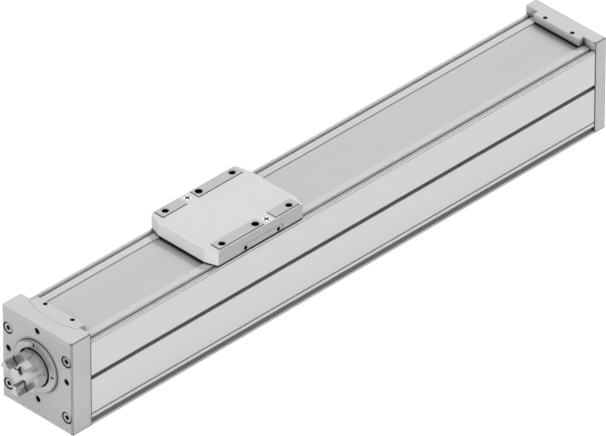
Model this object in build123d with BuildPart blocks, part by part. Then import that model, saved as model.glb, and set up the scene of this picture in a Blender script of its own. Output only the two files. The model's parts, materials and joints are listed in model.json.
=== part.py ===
from build123d import *
from math import atan2, degrees
import os

# Ball screw linear axis, in millimetres: travel along X, drive end at -X, mounting side down.

# Overall form
body_width = 60.0
stroke = 300.0
length_without_stroke = 160.0
drive_cap_length = 16.0
idle_cap_length = 9.5
edge_break = 0.5
cap_side_step = 0.2
cap_top_step = 6.2

# Extruded profile
side_wall = 7.8
roof_thickness = 8.0
profile_edge = 0.9
cavity_floor = 6.0
cavity_corner = 4.0
opening_half_width = 13.5
strip_recess_depth = 0.8
magnet_wall = 1.1
magnet_width = 3.0
magnet_height = 1.5
top_slot_wall = 2.4
top_slot_width = 2.9
top_slot_lip = 2.0
top_slot_depth = 4.6
slot_undercut = 0.7
side_slot_height = 34.7
side_slot_width = 2.4
side_slot_lip = 1.2
side_slot_depth = 3.6
foot_slot_bottom = 1.9
foot_slot_width = 2.9
foot_slot_depth = 3.6
mark_groove_height = 8.1
mark_groove_width = 0.5
mark_groove_depth = 0.3

# Cover strip and its clamps
strip_half_width = 19.0
strip_side_gap = 0.3
strip_thickness = 0.3
strip_grip = 4.0
strip_end_gap = 0.3
magnet_end_gap = 8.0
magnet_sink = 0.1
clamp_side_lip = 1.5
clamp_overhang = 4.7
clamp_arc_front = 9.5
clamp_arc_side = 13.7
clamp_seam = 0.12
clamp_screw_spacing = 23.3
clamp_screw_setback = 2.1
clamp_screw_sink = 1.0
clamp_screw_diameter = 3.0
clamp_screw_key = 1.5
idle_pad_side_lip = 0.4
idle_pad_overhang = 4.0
idle_pad_gap = 0.9
idle_screw_setback = 2.1
idle_clamp_setback = 0.8
idle_clamp_depth = 6.0
tongue_side_gap = 0.3
tongue_bottom_gap = 0.4
thread_gap = 0.05

# Cap screws, M4
cap_screw_side_inset = 5.0
cap_screw_top_inset = 15.1
cap_screw_bottom = 11.0
cap_screw_thread = 4.0
cap_screw_clearance = 4.5
cap_screw_head = 7.0
cap_screw_head_height = 4.0
cap_screw_bore = 8.2
drive_screw_sink = 4.4
idle_screw_sink = 4.4
drive_screw_length = 20.0
idle_screw_length = 12.0
cap_screw_hole_depth = 12.0

# Motor flange and base threads, M5 with 4.2 tap holes
flange_thread_side_inset = 5.0
m5_tap = 4.2
flange_thread_depth = 8.0
thread_chamfer = 0.4
base_thread_spacing = 30.0
base_thread_depth = 9.0

# Screw axis, bearings and drive journal
screw_diameter = 12.0
journal_diameter = 10.0
shaft_end_diameter = 8.0
ring_outer_diameter = 35.0
ring_hub_gap = 0.45
ring_proud = 2.8
ring_length = 6.8
ring_slot_width = 1.3
ring_slot_length = 2.6
ring_slot_radius = 15.8
ring_slot_depth = 1.4
ring_chamfer = 0.5
fixed_bearing_outer = 30.0
fixed_bearing_roof_gap = 0.8
fixed_bearing_width = 9.0
fixed_ball_diameter = 4.4
fixed_ball_count = 9
idle_bearing_outer = 22.0
idle_bearing_width = 7.0
idle_ball_diameter = 3.6
idle_ball_count = 8
bearing_shoulder = 3.5
shoulder_thickness = 2.5
idle_bearing_end_gap = 2.5
idle_cover_wall = 1.0
housing_wall = 3.5
housing_top_gap = 0.6
seat_clearance = 0.02
bearing_pair_gap = 0.04
lock_nut_diameter = 18.0
lock_nut_thickness = 3.6
circlip_thickness = 0.8
circlip_rise = 1.2
circlip_groove = 0.2
circlip_opening = 2.4
shaft_tip = 0.4

# Coupling hub
hub_diameter = 24.6
hub_reach = 11.6
hub_nut_gap = 1.0
hub_shaft_setback = 1.5
claw_reach = 19.0
claw_count = 3
claw_gap_width = 10.0
claw_inner_radius = 6.8
claw_edge = 0.5
hub_chamfer = 0.7
hub_slit_width = 1.0
hub_screw_edge_inset = 4.9
hub_screw_thread = 3.0
hub_screw_head = 5.5
hub_screw_setback = 4.6
hub_screw_seat = 3.6
hub_screw_length = 10.0

# Rail guide
rail_width = 15.0
rail_height = 8.5
rail_end_gap = 4.0
rail_screw_pitch = 45.0
rail_screw_head = 5.5
rail_screw_head_height = 3.0
rail_screw_sink = 3.6
rail_screw_bore = 6.0
rail_screw_thread = 3.0
rail_screw_grip = 4.0
rail_track_radius = 1.1
rail_track_height = 5.2
block_width = 32.0
block_steel_length = 23.0
block_cap_length = 5.8
block_cap_inset = 0.4
block_floor_gap = 3.2
block_height = 9.8
block_rail_gap = 0.3
block_spacing = 53.0
block_screw_spacing_x = 12.0
block_screw_spacing_y = 24.0
block_screw_hole_depth = 8.0
block_screw_sink = 3.2
block_screw_grip = 5.0

# Proportions that all socket screws and bearings share
key_to_head = 0.44
head_chamfer_to_head = 0.05
race_gap_to_ball = 0.3

# Carriage
carriage_rest = 160.4
carriage_bottom_gap = 0.4
carriage_top_step = 12.0
load_face_rise = 0.5
cover_length = 78.0
cover_side_length = 72.0
cover_side_inset = 1.1
cover_nose_half_width = 20.0
cover_roof = 1.6
cover_end_wall = 2.0
cover_slope_length = 8.0
cover_slope_drop = 1.3
window_gap = 0.12
pad_channel_wall = 0.6
long_pad_start = -3.8
long_pad_end = 33.6
short_pad_start = -34.0
short_pad_end = -14.0
payload_spacing_x = 57.0
payload_side_inset = 3.5
payload_thread_depth = 9.0
centring_diameter = 5.0
centring_depth = 2.2
cover_screw_x = 9.1
cover_screw_side_inset = 3.0
cover_screw_head = 5.0
cover_screw_head_height = 1.4
cover_screw_thread = 2.5
cover_screw_length = 6.0
cross_width = 0.7
cross_length = 2.6
cross_depth = 0.8
tag_pad_start = -16.0
tag_pad_end = 19.0
tag_pad_height = 5.2
tag_pad_setback = 0.2
tag_pad_radius = 1.4
tag_hole_start = -12.6
tag_hole_end = 15.4
tag_hole_height = 2.5
tag_hole_tap = 2.5
tag_hole_depth = 6.0
body_half_length = 34.2
body_cover_wall = 1.1
cover_side_gap = 0.1
cover_corner_radius = 1.0
channel_side_gap = 0.6
bridge_half_length = 17.0
bridge_thickness = 3.6
bridge_screw_spacing_x = 24.0
bridge_screw_spacing_y = 14.0
bridge_screw_thread = 4.0
bridge_screw_head = 8.0
bridge_screw_head_height = 2.3
bridge_screw_length = 12.0
strip_lift_gap = 0.3
strip_ramp_end = 34.2
strip_ramp_start = 20.5
strip_bend_radius = 10.0
strip_run_gap = 0.06
strip_joint = 37.9
strip_joint_gap = 0.1
guide_start = 23.0
guide_gap = 0.25
guide_side_gap = 0.3
wiper_start = 36.3
wiper_thickness = 0.6
wiper_gap = 0.05

# Ball nut and its carrier
nut_diameter = 22.0
nut_length = 32.0
nut_flange_diameter = 34.0
nut_flange_thickness = 6.0
nut_flange_half_height = 11.6
nut_flange_base_gap = 0.6
nut_running_gap = 0.06
nut_seat_gap = 0.1
nut_screw_spread_y = 23.8
nut_screw_spread_z = 12.8
nut_screw_length = 16.0
carrier_half_length = 42.0
carrier_base_thickness = 6.0
carrier_side_gap = 3.0
carrier_housing_half_length = 17.0
carrier_roof_gap = 3.0
carrier_corner = 4.5
web_side_gap = 1.0
buffer_length = 8.0
buffer_outer_diameter = 30.0
buffer_bore = 20.0

# Heights, stacked up from the mounting face
rail_top = cavity_floor + rail_height
block_bottom = cavity_floor + block_floor_gap
block_top = block_bottom + block_height
carrier_base_top = block_top + carrier_base_thickness
shaft_height = carrier_base_top + nut_flange_base_gap + nut_flange_half_height
cavity_ceiling = shaft_height + fixed_bearing_outer / 2 + fixed_bearing_roof_gap
carrier_top = cavity_ceiling - carrier_roof_gap
profile_height = cavity_ceiling + roof_thickness
cap_height = profile_height + cap_top_step
carriage_top = profile_height + carriage_top_step
cover_top = carriage_top - load_face_rise
cap_screw_spacing_z = cap_height - cap_screw_top_inset - cap_screw_bottom

# Widths, from the caps inwards
profile_width = body_width - 2 * cap_side_step
cavity_half_width = profile_width / 2 - side_wall
carrier_half_width = cavity_half_width - carrier_side_gap
web_half_width = opening_half_width - web_side_gap
magnet_inner_edge = opening_half_width + magnet_wall
strip_recess_half_width = strip_half_width + strip_side_gap
top_slot_inner_edge = profile_width / 2 - top_slot_wall - top_slot_width
clamp_half_width = strip_half_width + clamp_side_lip
idle_pad_half_width = strip_recess_half_width + idle_pad_side_lip
cap_screw_spacing_y = body_width - 2 * cap_screw_side_inset
flange_pitch_circle = body_width - 2 * flange_thread_side_inset
ring_bore = hub_diameter + 2 * ring_hub_gap
hub_screw_offset = hub_diameter / 2 - hub_screw_edge_inset
cover_half_width = body_width / 2 - cover_side_inset
body_half_width = cover_half_width - body_cover_wall
channel_half_width = strip_half_width + channel_side_gap
pad_inner_edge = channel_half_width + pad_channel_wall
payload_spacing_y = 2 * (body_half_width - payload_side_inset)
cover_screw_y = body_half_width - cover_screw_side_inset

# Places that follow from the sizes; X is measured so that the whole axis is centred on the origin
body_length = stroke + length_without_stroke
x_front = (claw_reach - body_length) / 2
x_cap_back = x_front + drive_cap_length
x_end = x_front + body_length
x_idle_face = x_end - idle_cap_length
profile_length = x_idle_face - x_cap_back
strip_floor = profile_height - strip_recess_depth
strip_top = strip_floor + strip_thickness
cap_screw_middle = cap_screw_bottom + cap_screw_spacing_z / 2
clamp_back = x_cap_back + clamp_overhang
clamp_front = x_front + clamp_arc_front
idle_pad_front = x_idle_face - idle_pad_overhang
strip_start = x_front + clamp_arc_side + strip_end_gap
strip_end = x_idle_face + strip_grip
tongue_half_width = opening_half_width - tongue_side_gap
tongue_bottom = cavity_ceiling + tongue_bottom_gap
housing_top = cavity_ceiling - housing_top_gap
ring_back = x_front + ring_length - ring_proud
fixed_pair_width = 2 * fixed_bearing_width + bearing_pair_gap
fixed_bearing_end = ring_back + fixed_pair_width
drive_housing_end = fixed_bearing_end + shoulder_thickness
idle_bearing_end = x_end - idle_bearing_end_gap
idle_bearing_start = idle_bearing_end - idle_bearing_width
idle_housing_start = idle_bearing_start - shoulder_thickness
lock_nut_start = ring_back - lock_nut_thickness
hub_front = x_front - hub_reach
hub_back = lock_nut_start - hub_nut_gap
shaft_start = hub_front + hub_shaft_setback
shaft_end = idle_bearing_end + circlip_thickness + shaft_tip
pad_floor = profile_height + idle_pad_gap
rail_start = x_cap_back + rail_end_gap
rail_length = profile_length - 2 * rail_end_gap
rail_screws_middle = rail_start + rail_length / 2
rail_screw_count = int((rail_length - rail_screw_pitch / 2) // rail_screw_pitch) + 1
x_carriage = x_front + carriage_rest
carriage_bottom = profile_height + carriage_bottom_gap
cover_underside = cover_top - cover_roof
bridge_top = carriage_bottom + bridge_thickness
lifted_strip = bridge_top + strip_lift_gap
moving_strip_floor = strip_floor + strip_run_gap
bridge_sink_angle = degrees(2 * atan2(bridge_screw_head - bridge_screw_thread, 2 * bridge_screw_head_height))
cover_sink_angle = degrees(2 * atan2(cover_screw_head - cover_screw_thread, 2 * cover_screw_head_height))
nut_flange_face = x_carriage - carrier_housing_half_length
cover_screw_places = [(-cover_screw_x, cover_screw_y), (cover_screw_x, -cover_screw_y)]


def front_plane(x, z=0.0):
    """A plane across the axis at x that faces the drive end, with its own y pointing up."""
    return Plane(origin=(x, 0, z), x_dir=(0, -1, 0), z_dir=(-1, 0, 0))


def rear_plane(x, z=0.0):
    """A plane across the axis at x that faces the idle end, with its own y pointing up."""
    return Plane(origin=(x, 0, z), x_dir=(0, 1, 0), z_dir=(1, 0, 0))


def base_plane(x):
    """The mounting plane at x, facing down."""
    return Plane(origin=(x, 0, 0), x_dir=(1, 0, 0), z_dir=(0, 0, -1))


def tag_plane(x, y):
    """A plane at x along a long side of the carriage that faces away from the middle, its own y up."""
    outward = y / abs(y)
    return Plane(origin=(x, y, carriage_bottom), x_dir=(-outward, 0, 0), z_dir=(0, outward, 0))


def socket_screw(thread, length, head, head_height):
    """A socket head screw: seat at Z=0, head above it, shank below."""
    with BuildPart() as screw:
        with BuildSketch():
            Circle(head / 2)
        extrude(amount=head_height)
        chamfer(screw.edges().group_by(Axis.Z)[-1], length=head_chamfer_to_head * head)
        with BuildSketch():
            Circle(thread / 2)
        extrude(amount=-length)
        with BuildSketch(Plane.XY.offset(head_height)):
            RegularPolygon(key_to_head * head / 2, 6, major_radius=False)
        extrude(amount=-head_height / 2, mode=Mode.SUBTRACT)
    return screw.part


def countersunk_screw(thread, length, head, head_height):
    """A countersunk screw without its drive: head's flat top at Z=0, shank below."""
    with BuildPart() as screw:
        with BuildSketch():
            Circle(head / 2)
        with BuildSketch(Plane.XY.offset(-head_height)):
            Circle(thread / 2)
        loft()
        with BuildSketch(Plane.XY.offset(-head_height)):
            Circle(thread / 2)
        extrude(amount=head_height - length)
    return screw.part


def bearing(outer_diameter, bore, width, ball_diameter, ball_count):
    """A ball bearing from Z=0 to its width, as its outer ring, its balls and its inner ring."""
    pitch_radius = (outer_diameter + bore) / 4
    race_gap = race_gap_to_ball * ball_diameter
    groove_radius = ball_diameter / 2 + seat_clearance
    with BuildPart() as outer_ring:
        with BuildSketch():
            Circle(outer_diameter / 2)
            Circle(pitch_radius + race_gap, mode=Mode.SUBTRACT)
        extrude(amount=width)
        with Locations((0, 0, width / 2)):
            Torus(pitch_radius, groove_radius, mode=Mode.SUBTRACT)
    with BuildPart() as balls:
        with Locations((0, 0, width / 2)):
            with PolarLocations(pitch_radius, ball_count):
                Sphere(ball_diameter / 2)
    with BuildPart() as inner_ring:
        with BuildSketch():
            Circle(pitch_radius - race_gap)
            Circle(bore / 2 + seat_clearance, mode=Mode.SUBTRACT)
        extrude(amount=width)
        with Locations((0, 0, width / 2)):
            Torus(pitch_radius, groove_radius, mode=Mode.SUBTRACT)
    return outer_ring.part, balls.part, inner_ring.part


# Extruded profile: one outline along the whole length, then the tapped holes at both ends
with BuildPart() as profile:
    with BuildSketch(rear_plane(x_cap_back)) as section:
        with Locations((0, profile_height / 2)):
            Rectangle(profile_width, profile_height)
        chamfer(section.vertices().group_by(Axis.Y)[-1], length=profile_edge)
        with BuildLine():
            Polyline(
                (0, cavity_floor),
                (cavity_half_width - cavity_corner, cavity_floor),
                (cavity_half_width, cavity_floor + cavity_corner),
                (cavity_half_width, cavity_ceiling - cavity_corner),
                (cavity_half_width - cavity_corner, cavity_ceiling),
                (opening_half_width, cavity_ceiling),
                (opening_half_width, strip_floor),
                (magnet_inner_edge, strip_floor),
                (magnet_inner_edge, strip_floor - magnet_height),
                (magnet_inner_edge + magnet_width, strip_floor - magnet_height),
                (magnet_inner_edge + magnet_width, strip_floor),
                (strip_recess_half_width, strip_floor),
                (strip_recess_half_width, profile_height),
                (0, profile_height),
            )
            mirror(about=Plane.YZ)
        make_face(mode=Mode.SUBTRACT)
        top_slot_middle = top_slot_inner_edge + top_slot_width / 2
        top_undercut = top_slot_depth - top_slot_lip
        side_undercut = side_slot_depth - side_slot_lip
        wall = profile_width / 2
        for side in (-1, 1):
            with Locations((side * top_slot_middle, profile_height - top_slot_depth / 2)):
                Rectangle(top_slot_width, top_slot_depth, mode=Mode.SUBTRACT)
            with Locations((side * top_slot_middle, profile_height - top_slot_depth + top_undercut / 2)):
                Rectangle(top_slot_width + 2 * slot_undercut, top_undercut, mode=Mode.SUBTRACT)
            with Locations((side * (wall - side_slot_depth / 2), side_slot_height)):
                Rectangle(side_slot_depth, side_slot_width, mode=Mode.SUBTRACT)
            with Locations((side * (wall - side_slot_depth + side_undercut / 2), side_slot_height)):
                Rectangle(side_undercut, side_slot_width + 2 * slot_undercut, mode=Mode.SUBTRACT)
            with Locations((side * (wall - foot_slot_depth / 2), foot_slot_bottom + foot_slot_width / 2)):
                Rectangle(foot_slot_depth, foot_slot_width, mode=Mode.SUBTRACT)
            with Locations((side * wall, mark_groove_height)):
                Rectangle(2 * mark_groove_depth, mark_groove_width, mode=Mode.SUBTRACT)
    extrude(amount=profile_length)
    for end in (front_plane(x_cap_back, cap_screw_middle), rear_plane(x_idle_face, cap_screw_middle)):
        with Locations(end):
            with GridLocations(cap_screw_spacing_y, cap_screw_spacing_z, 2, 2):
                Hole(cap_screw_thread / 2 + thread_gap, depth=cap_screw_hole_depth)
    with Locations((rail_screws_middle, 0, cavity_floor)):
        with GridLocations(rail_screw_pitch, 0, rail_screw_count, 1):
            Hole(rail_screw_thread / 2 + thread_gap, depth=rail_screw_grip)

# Drive end cap: plate, bearing housing and the tongue that carries the end of the strip
with BuildPart() as drive_end_cap:
    with BuildSketch(rear_plane(x_front)):
        with Locations((0, cap_height / 2)):
            Rectangle(body_width, cap_height)
    extrude(amount=drive_cap_length)
    chamfer(drive_end_cap.edges().group_by(Axis.X)[0], length=edge_break)
    with BuildSketch(rear_plane(x_cap_back)):
        with Locations((0, shaft_height)):
            Circle(fixed_bearing_outer / 2 + housing_wall)
        with Locations((0, housing_top + body_width / 2)):
            Rectangle(body_width, body_width, mode=Mode.SUBTRACT)
    extrude(amount=drive_housing_end - x_cap_back)
    with BuildSketch(rear_plane(x_cap_back)):
        with Locations((0, tongue_bottom)):
            Rectangle(2 * tongue_half_width, strip_floor - tongue_bottom, align=(Align.CENTER, Align.MIN))
    extrude(amount=clamp_overhang)
    with BuildSketch(Plane.XY.offset(strip_floor)):
        with BuildLine():
            ThreePointArc(
                (x_front + clamp_arc_side, -clamp_half_width - clamp_seam),
                (clamp_front, 0),
                (x_front + clamp_arc_side, clamp_half_width + clamp_seam),
            )
            Polyline(
                (x_front + clamp_arc_side, clamp_half_width + clamp_seam),
                (x_cap_back, clamp_half_width + clamp_seam),
                (x_cap_back, -clamp_half_width - clamp_seam),
                (x_front + clamp_arc_side, -clamp_half_width - clamp_seam),
            )
        make_face()
    extrude(amount=cap_height - strip_floor, mode=Mode.SUBTRACT)
    with BuildSketch(front_plane(x_front)):
        with Locations((0, shaft_height)):
            Circle(ring_outer_diameter / 2)
    extrude(amount=-(ring_back - x_front), mode=Mode.SUBTRACT)
    with BuildSketch(front_plane(ring_back)):
        with Locations((0, shaft_height)):
            Circle(fixed_bearing_outer / 2 + seat_clearance)
    extrude(amount=-fixed_pair_width, mode=Mode.SUBTRACT)
    with BuildSketch(front_plane(fixed_bearing_end)):
        with Locations((0, shaft_height)):
            Circle(fixed_bearing_outer / 2 - bearing_shoulder)
    extrude(amount=-shoulder_thickness, mode=Mode.SUBTRACT)
    with Locations(front_plane(x_front, cap_screw_middle)):
        with GridLocations(cap_screw_spacing_y, cap_screw_spacing_z, 2, 2):
            CounterBoreHole(cap_screw_clearance / 2, cap_screw_bore / 2, drive_screw_sink)
    with Locations(front_plane(x_front, shaft_height)):
        with PolarLocations(flange_pitch_circle / 2, 4):
            CounterSinkHole(m5_tap / 2, m5_tap / 2 + thread_chamfer, depth=flange_thread_depth)
    with Locations(base_plane(x_front + drive_cap_length / 2)):
        with GridLocations(0, base_thread_spacing, 1, 2):
            Hole(m5_tap / 2, depth=base_thread_depth)

# Idle end cap: plate with the pad over the strip, and the housing of the floating bearing
with BuildPart() as idle_end_cap:
    with BuildSketch(rear_plane(x_idle_face)):
        with Locations((0, cap_height / 2)):
            Rectangle(body_width, cap_height)
    extrude(amount=idle_cap_length)
    chamfer(idle_end_cap.edges().group_by(Axis.X)[-1], length=edge_break)
    with BuildSketch(front_plane(x_idle_face)):
        with Locations((0, pad_floor)):
            Rectangle(2 * idle_pad_half_width, cap_height - pad_floor, align=(Align.CENTER, Align.MIN))
    extrude(amount=idle_pad_overhang)
    with BuildSketch(front_plane(x_idle_face)):
        with Locations((0, shaft_height)):
            Circle(idle_bearing_outer / 2 + housing_wall)
        with Locations((0, housing_top + body_width / 2)):
            Rectangle(body_width, body_width, mode=Mode.SUBTRACT)
    extrude(amount=x_idle_face - idle_housing_start)
    with BuildSketch(front_plane(x_idle_face)):
        with Locations((0, tongue_bottom)):
            Rectangle(2 * tongue_half_width, strip_floor - tongue_bottom, align=(Align.CENTER, Align.MIN))
    extrude(amount=idle_pad_overhang)
    with BuildSketch(front_plane(x_idle_face)):
        with Locations((0, strip_floor)):
            Rectangle(2 * strip_recess_half_width, pad_floor - strip_floor, align=(Align.CENTER, Align.MIN))
    extrude(amount=-idle_clamp_depth, mode=Mode.SUBTRACT)
    with BuildSketch(rear_plane(idle_housing_start)):
        with Locations((0, shaft_height)):
            Circle(idle_bearing_outer / 2 + seat_clearance)
    extrude(amount=x_end - idle_cover_wall - idle_housing_start, mode=Mode.SUBTRACT)
    with Locations(rear_plane(x_end, cap_screw_middle)):
        with GridLocations(cap_screw_spacing_y, cap_screw_spacing_z, 2, 2):
            CounterBoreHole(cap_screw_clearance / 2, cap_screw_bore / 2, idle_screw_sink)
    with Locations(base_plane(x_end - idle_cap_length / 2)):
        with GridLocations(0, base_thread_spacing, 1, 2):
            Hole(m5_tap / 2, depth=base_thread_depth)
    with Locations((idle_pad_front + idle_screw_setback, 0, cap_height)):
        with GridLocations(0, clamp_screw_spacing, 1, 2):
            Hole(clamp_screw_diameter / 2, depth=cap_height - pad_floor)

# Cap screws, four at each end, sunk in their counterbores
drive_cap_screw = socket_screw(cap_screw_thread, drive_screw_length, cap_screw_head, cap_screw_head_height)
with BuildPart() as drive_cap_screws:
    with Locations(front_plane(x_front + drive_screw_sink, cap_screw_middle)):
        with GridLocations(cap_screw_spacing_y, cap_screw_spacing_z, 2, 2):
            add(drive_cap_screw)
idle_cap_screw = socket_screw(cap_screw_thread, idle_screw_length, cap_screw_head, cap_screw_head_height)
with BuildPart() as idle_cap_screws:
    with Locations(rear_plane(x_end - idle_screw_sink, cap_screw_middle)):
        with GridLocations(cap_screw_spacing_y, cap_screw_spacing_z, 2, 2):
            add(idle_cap_screw)

# Strip clamp let into the drive cap: a plate with a bowed front edge, level with the cap's top
with BuildPart() as drive_strip_clamp:
    with BuildSketch(Plane.XY.offset(strip_top)):
        with BuildLine():
            ThreePointArc(
                (x_front + clamp_arc_side + clamp_seam, -clamp_half_width),
                (clamp_front + clamp_seam, 0),
                (x_front + clamp_arc_side + clamp_seam, clamp_half_width),
            )
            Polyline(
                (x_front + clamp_arc_side + clamp_seam, clamp_half_width),
                (clamp_back, clamp_half_width),
                (clamp_back, -clamp_half_width),
                (x_front + clamp_arc_side + clamp_seam, -clamp_half_width),
            )
        make_face()
    extrude(amount=cap_height - strip_top)
    for side in (-1, 1):
        with BuildSketch(Plane.XY.offset(strip_top)):
            with Locations((clamp_back, side * clamp_half_width)):
                Rectangle(2 * clamp_overhang, 2 * (clamp_half_width - strip_half_width))
        extrude(amount=profile_height - strip_top, mode=Mode.SUBTRACT)
    with Locations((clamp_back - clamp_screw_setback, 0, cap_height)):
        with GridLocations(0, clamp_screw_spacing, 1, 2):
            Hole(clamp_screw_diameter / 2, depth=cap_height - strip_top)

# Clamp bar under the idle cap's pad, set back from its front face
with BuildPart() as idle_strip_clamp:
    clamp_bar_length = idle_pad_overhang - idle_clamp_setback + idle_clamp_depth
    with BuildSketch(Plane.XY.offset(strip_top)):
        with Locations((idle_pad_front + idle_clamp_setback, 0)):
            Rectangle(clamp_bar_length, 2 * strip_half_width, align=(Align.MIN, Align.CENTER))
    extrude(amount=pad_floor - strip_top)

# Grub screws, two at each end, that press the clamps and the strip down
def grub_screw(length):
    """A hexagon socket grub screw hanging down from Z=0."""
    with BuildPart() as screw:
        with BuildSketch():
            Circle(clamp_screw_diameter / 2 - thread_gap)
        extrude(amount=-length)
        with BuildSketch():
            RegularPolygon(clamp_screw_key / 2, 6, major_radius=False)
        extrude(amount=-clamp_screw_key, mode=Mode.SUBTRACT)
    return screw.part


grub_top = cap_height - clamp_screw_sink
drive_grub_screw = grub_screw(grub_top - strip_top)
with BuildPart() as drive_clamp_screws:
    with Locations((clamp_back - clamp_screw_setback, 0, grub_top)):
        with GridLocations(0, clamp_screw_spacing, 1, 2):
            add(drive_grub_screw)
idle_grub_screw = grub_screw(grub_top - pad_floor)
with BuildPart() as idle_clamp_screws:
    with Locations((idle_pad_front + idle_screw_setback, 0, grub_top)):
        with GridLocations(0, clamp_screw_spacing, 1, 2):
            add(idle_grub_screw)

# Steel cover strip, in its three stretches: flat to either side and lifted inside the carriage
strip_joint_left = x_carriage - strip_joint
strip_joint_right = x_carriage + strip_joint
with BuildPart() as strip_drive_side:
    with BuildSketch(Plane.XY.offset(strip_floor)):
        with Locations((strip_start, 0)):
            Rectangle(
                strip_joint_left - strip_joint_gap - strip_start,
                2 * strip_half_width,
                align=(Align.MIN, Align.CENTER),
            )
    extrude(amount=strip_thickness)
with BuildPart() as strip_idle_side:
    with BuildSketch(Plane.XY.offset(strip_floor)):
        with Locations((strip_joint_right + strip_joint_gap, 0)):
            Rectangle(
                strip_end - strip_joint_right - strip_joint_gap,
                2 * strip_half_width,
                align=(Align.MIN, Align.CENTER),
            )
    extrude(amount=strip_thickness)


def lifted_path(height):
    """Corner points of the strip's way through the carriage, raised by height."""
    low = moving_strip_floor + height
    high = lifted_strip + height
    return [
        (strip_joint_left, low),
        (x_carriage - strip_ramp_end, low),
        (x_carriage - strip_ramp_start, high),
        (x_carriage + strip_ramp_start, high),
        (x_carriage + strip_ramp_end, low),
        (strip_joint_right, low),
    ]


with BuildPart() as strip_in_carriage:
    with BuildSketch(Plane.XZ):
        with BuildLine():
            lower_path = FilletPolyline(*lifted_path(0), radius=strip_bend_radius)
            upper_path = FilletPolyline(*lifted_path(strip_thickness), radius=strip_bend_radius)
            Line(lower_path @ 0, upper_path @ 0)
            Line(lower_path @ 1, upper_path @ 1)
        make_face()
    extrude(amount=strip_half_width, both=True)

# Magnet strips let into the profile beside the opening
with BuildPart() as magnet_strips:
    with BuildSketch(rear_plane(x_cap_back + magnet_end_gap)):
        for side in (-1, 1):
            with Locations((side * (magnet_inner_edge + magnet_width / 2), strip_floor - magnet_height)):
                Rectangle(
                    magnet_width - 2 * thread_gap,
                    magnet_height - magnet_sink,
                    align=(Align.CENTER, Align.MIN),
                )
    extrude(amount=profile_length - 2 * magnet_end_gap)

# Guide rail on the profile's floor, with its row of screws
with BuildPart() as guide_rail:
    with BuildSketch(rear_plane(rail_start)):
        with Locations((0, cavity_floor)):
            Rectangle(rail_width, rail_height, align=(Align.CENTER, Align.MIN))
        with Locations((-rail_width / 2, cavity_floor + rail_track_height)):
            Circle(rail_track_radius, mode=Mode.SUBTRACT)
        with Locations((rail_width / 2, cavity_floor + rail_track_height)):
            Circle(rail_track_radius, mode=Mode.SUBTRACT)
    extrude(amount=rail_length)
    with Locations((rail_screws_middle, 0, rail_top)):
        with GridLocations(rail_screw_pitch, 0, rail_screw_count, 1):
            CounterBoreHole(rail_screw_thread / 2 + thread_gap, rail_screw_bore / 2, rail_screw_sink)
rail_screw_length = rail_height - rail_screw_sink + rail_screw_grip
rail_screw = socket_screw(rail_screw_thread, rail_screw_length, rail_screw_head, rail_screw_head_height)
with BuildPart() as guide_rail_screws:
    with Locations((rail_screws_middle, 0, rail_top - rail_screw_sink)):
        with GridLocations(rail_screw_pitch, 0, rail_screw_count, 1):
            add(rail_screw)

# Fixed bearing pair at the drive end and floating bearing at the idle end
fixed_rings = bearing(
    fixed_bearing_outer, journal_diameter, fixed_bearing_width, fixed_ball_diameter, fixed_ball_count
)
fixed_bearing_places = Locations(
    rear_plane(ring_back, shaft_height),
    rear_plane(fixed_bearing_end - fixed_bearing_width, shaft_height),
)
with BuildPart() as fixed_bearing_outer_rings:
    with fixed_bearing_places:
        add(fixed_rings[0])
with BuildPart() as fixed_bearing_balls:
    with fixed_bearing_places:
        add(fixed_rings[1])
with BuildPart() as fixed_bearing_inner_rings:
    with fixed_bearing_places:
        add(fixed_rings[2])
floating_rings = bearing(
    idle_bearing_outer, shaft_end_diameter, idle_bearing_width, idle_ball_diameter, idle_ball_count
)
with BuildPart() as floating_bearing_outer_ring:
    with Locations(rear_plane(idle_bearing_start, shaft_height)):
        add(floating_rings[0])
with BuildPart() as floating_bearing_balls:
    with Locations(rear_plane(idle_bearing_start, shaft_height)):
        add(floating_rings[1])
with BuildPart() as floating_bearing_inner_ring:
    with Locations(rear_plane(idle_bearing_start, shaft_height)):
        add(floating_rings[2])

# Threaded ring that holds the fixed bearings in the drive cap, with four spanner slots
with BuildPart() as bearing_retaining_ring:
    with BuildSketch(front_plane(ring_back, shaft_height)):
        Circle(ring_outer_diameter / 2 - thread_gap)
        Circle(ring_bore / 2, mode=Mode.SUBTRACT)
    extrude(amount=ring_length)
    chamfer(bearing_retaining_ring.edges().group_by(Axis.X)[0], length=ring_chamfer)
    with BuildSketch(front_plane(x_front - ring_proud, shaft_height)):
        with PolarLocations(ring_slot_radius, 4):
            Rectangle(ring_slot_length, ring_slot_width)
    extrude(amount=-ring_slot_depth, mode=Mode.SUBTRACT)


def buffer_ring(plane):
    """A rubber stop ring that stands on plane and points along its normal."""
    with BuildPart() as ring:
        with BuildSketch(plane):
            Circle(buffer_outer_diameter / 2)
            Circle(buffer_bore / 2, mode=Mode.SUBTRACT)
        extrude(amount=buffer_length)
        chamfer(ring.edges().filter_by(GeomType.CIRCLE).group_by(SortBy.RADIUS)[-1], length=edge_break)
    return ring


drive_buffer = buffer_ring(rear_plane(drive_housing_end, shaft_height))
idle_buffer = buffer_ring(front_plane(idle_housing_start, shaft_height))

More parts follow.
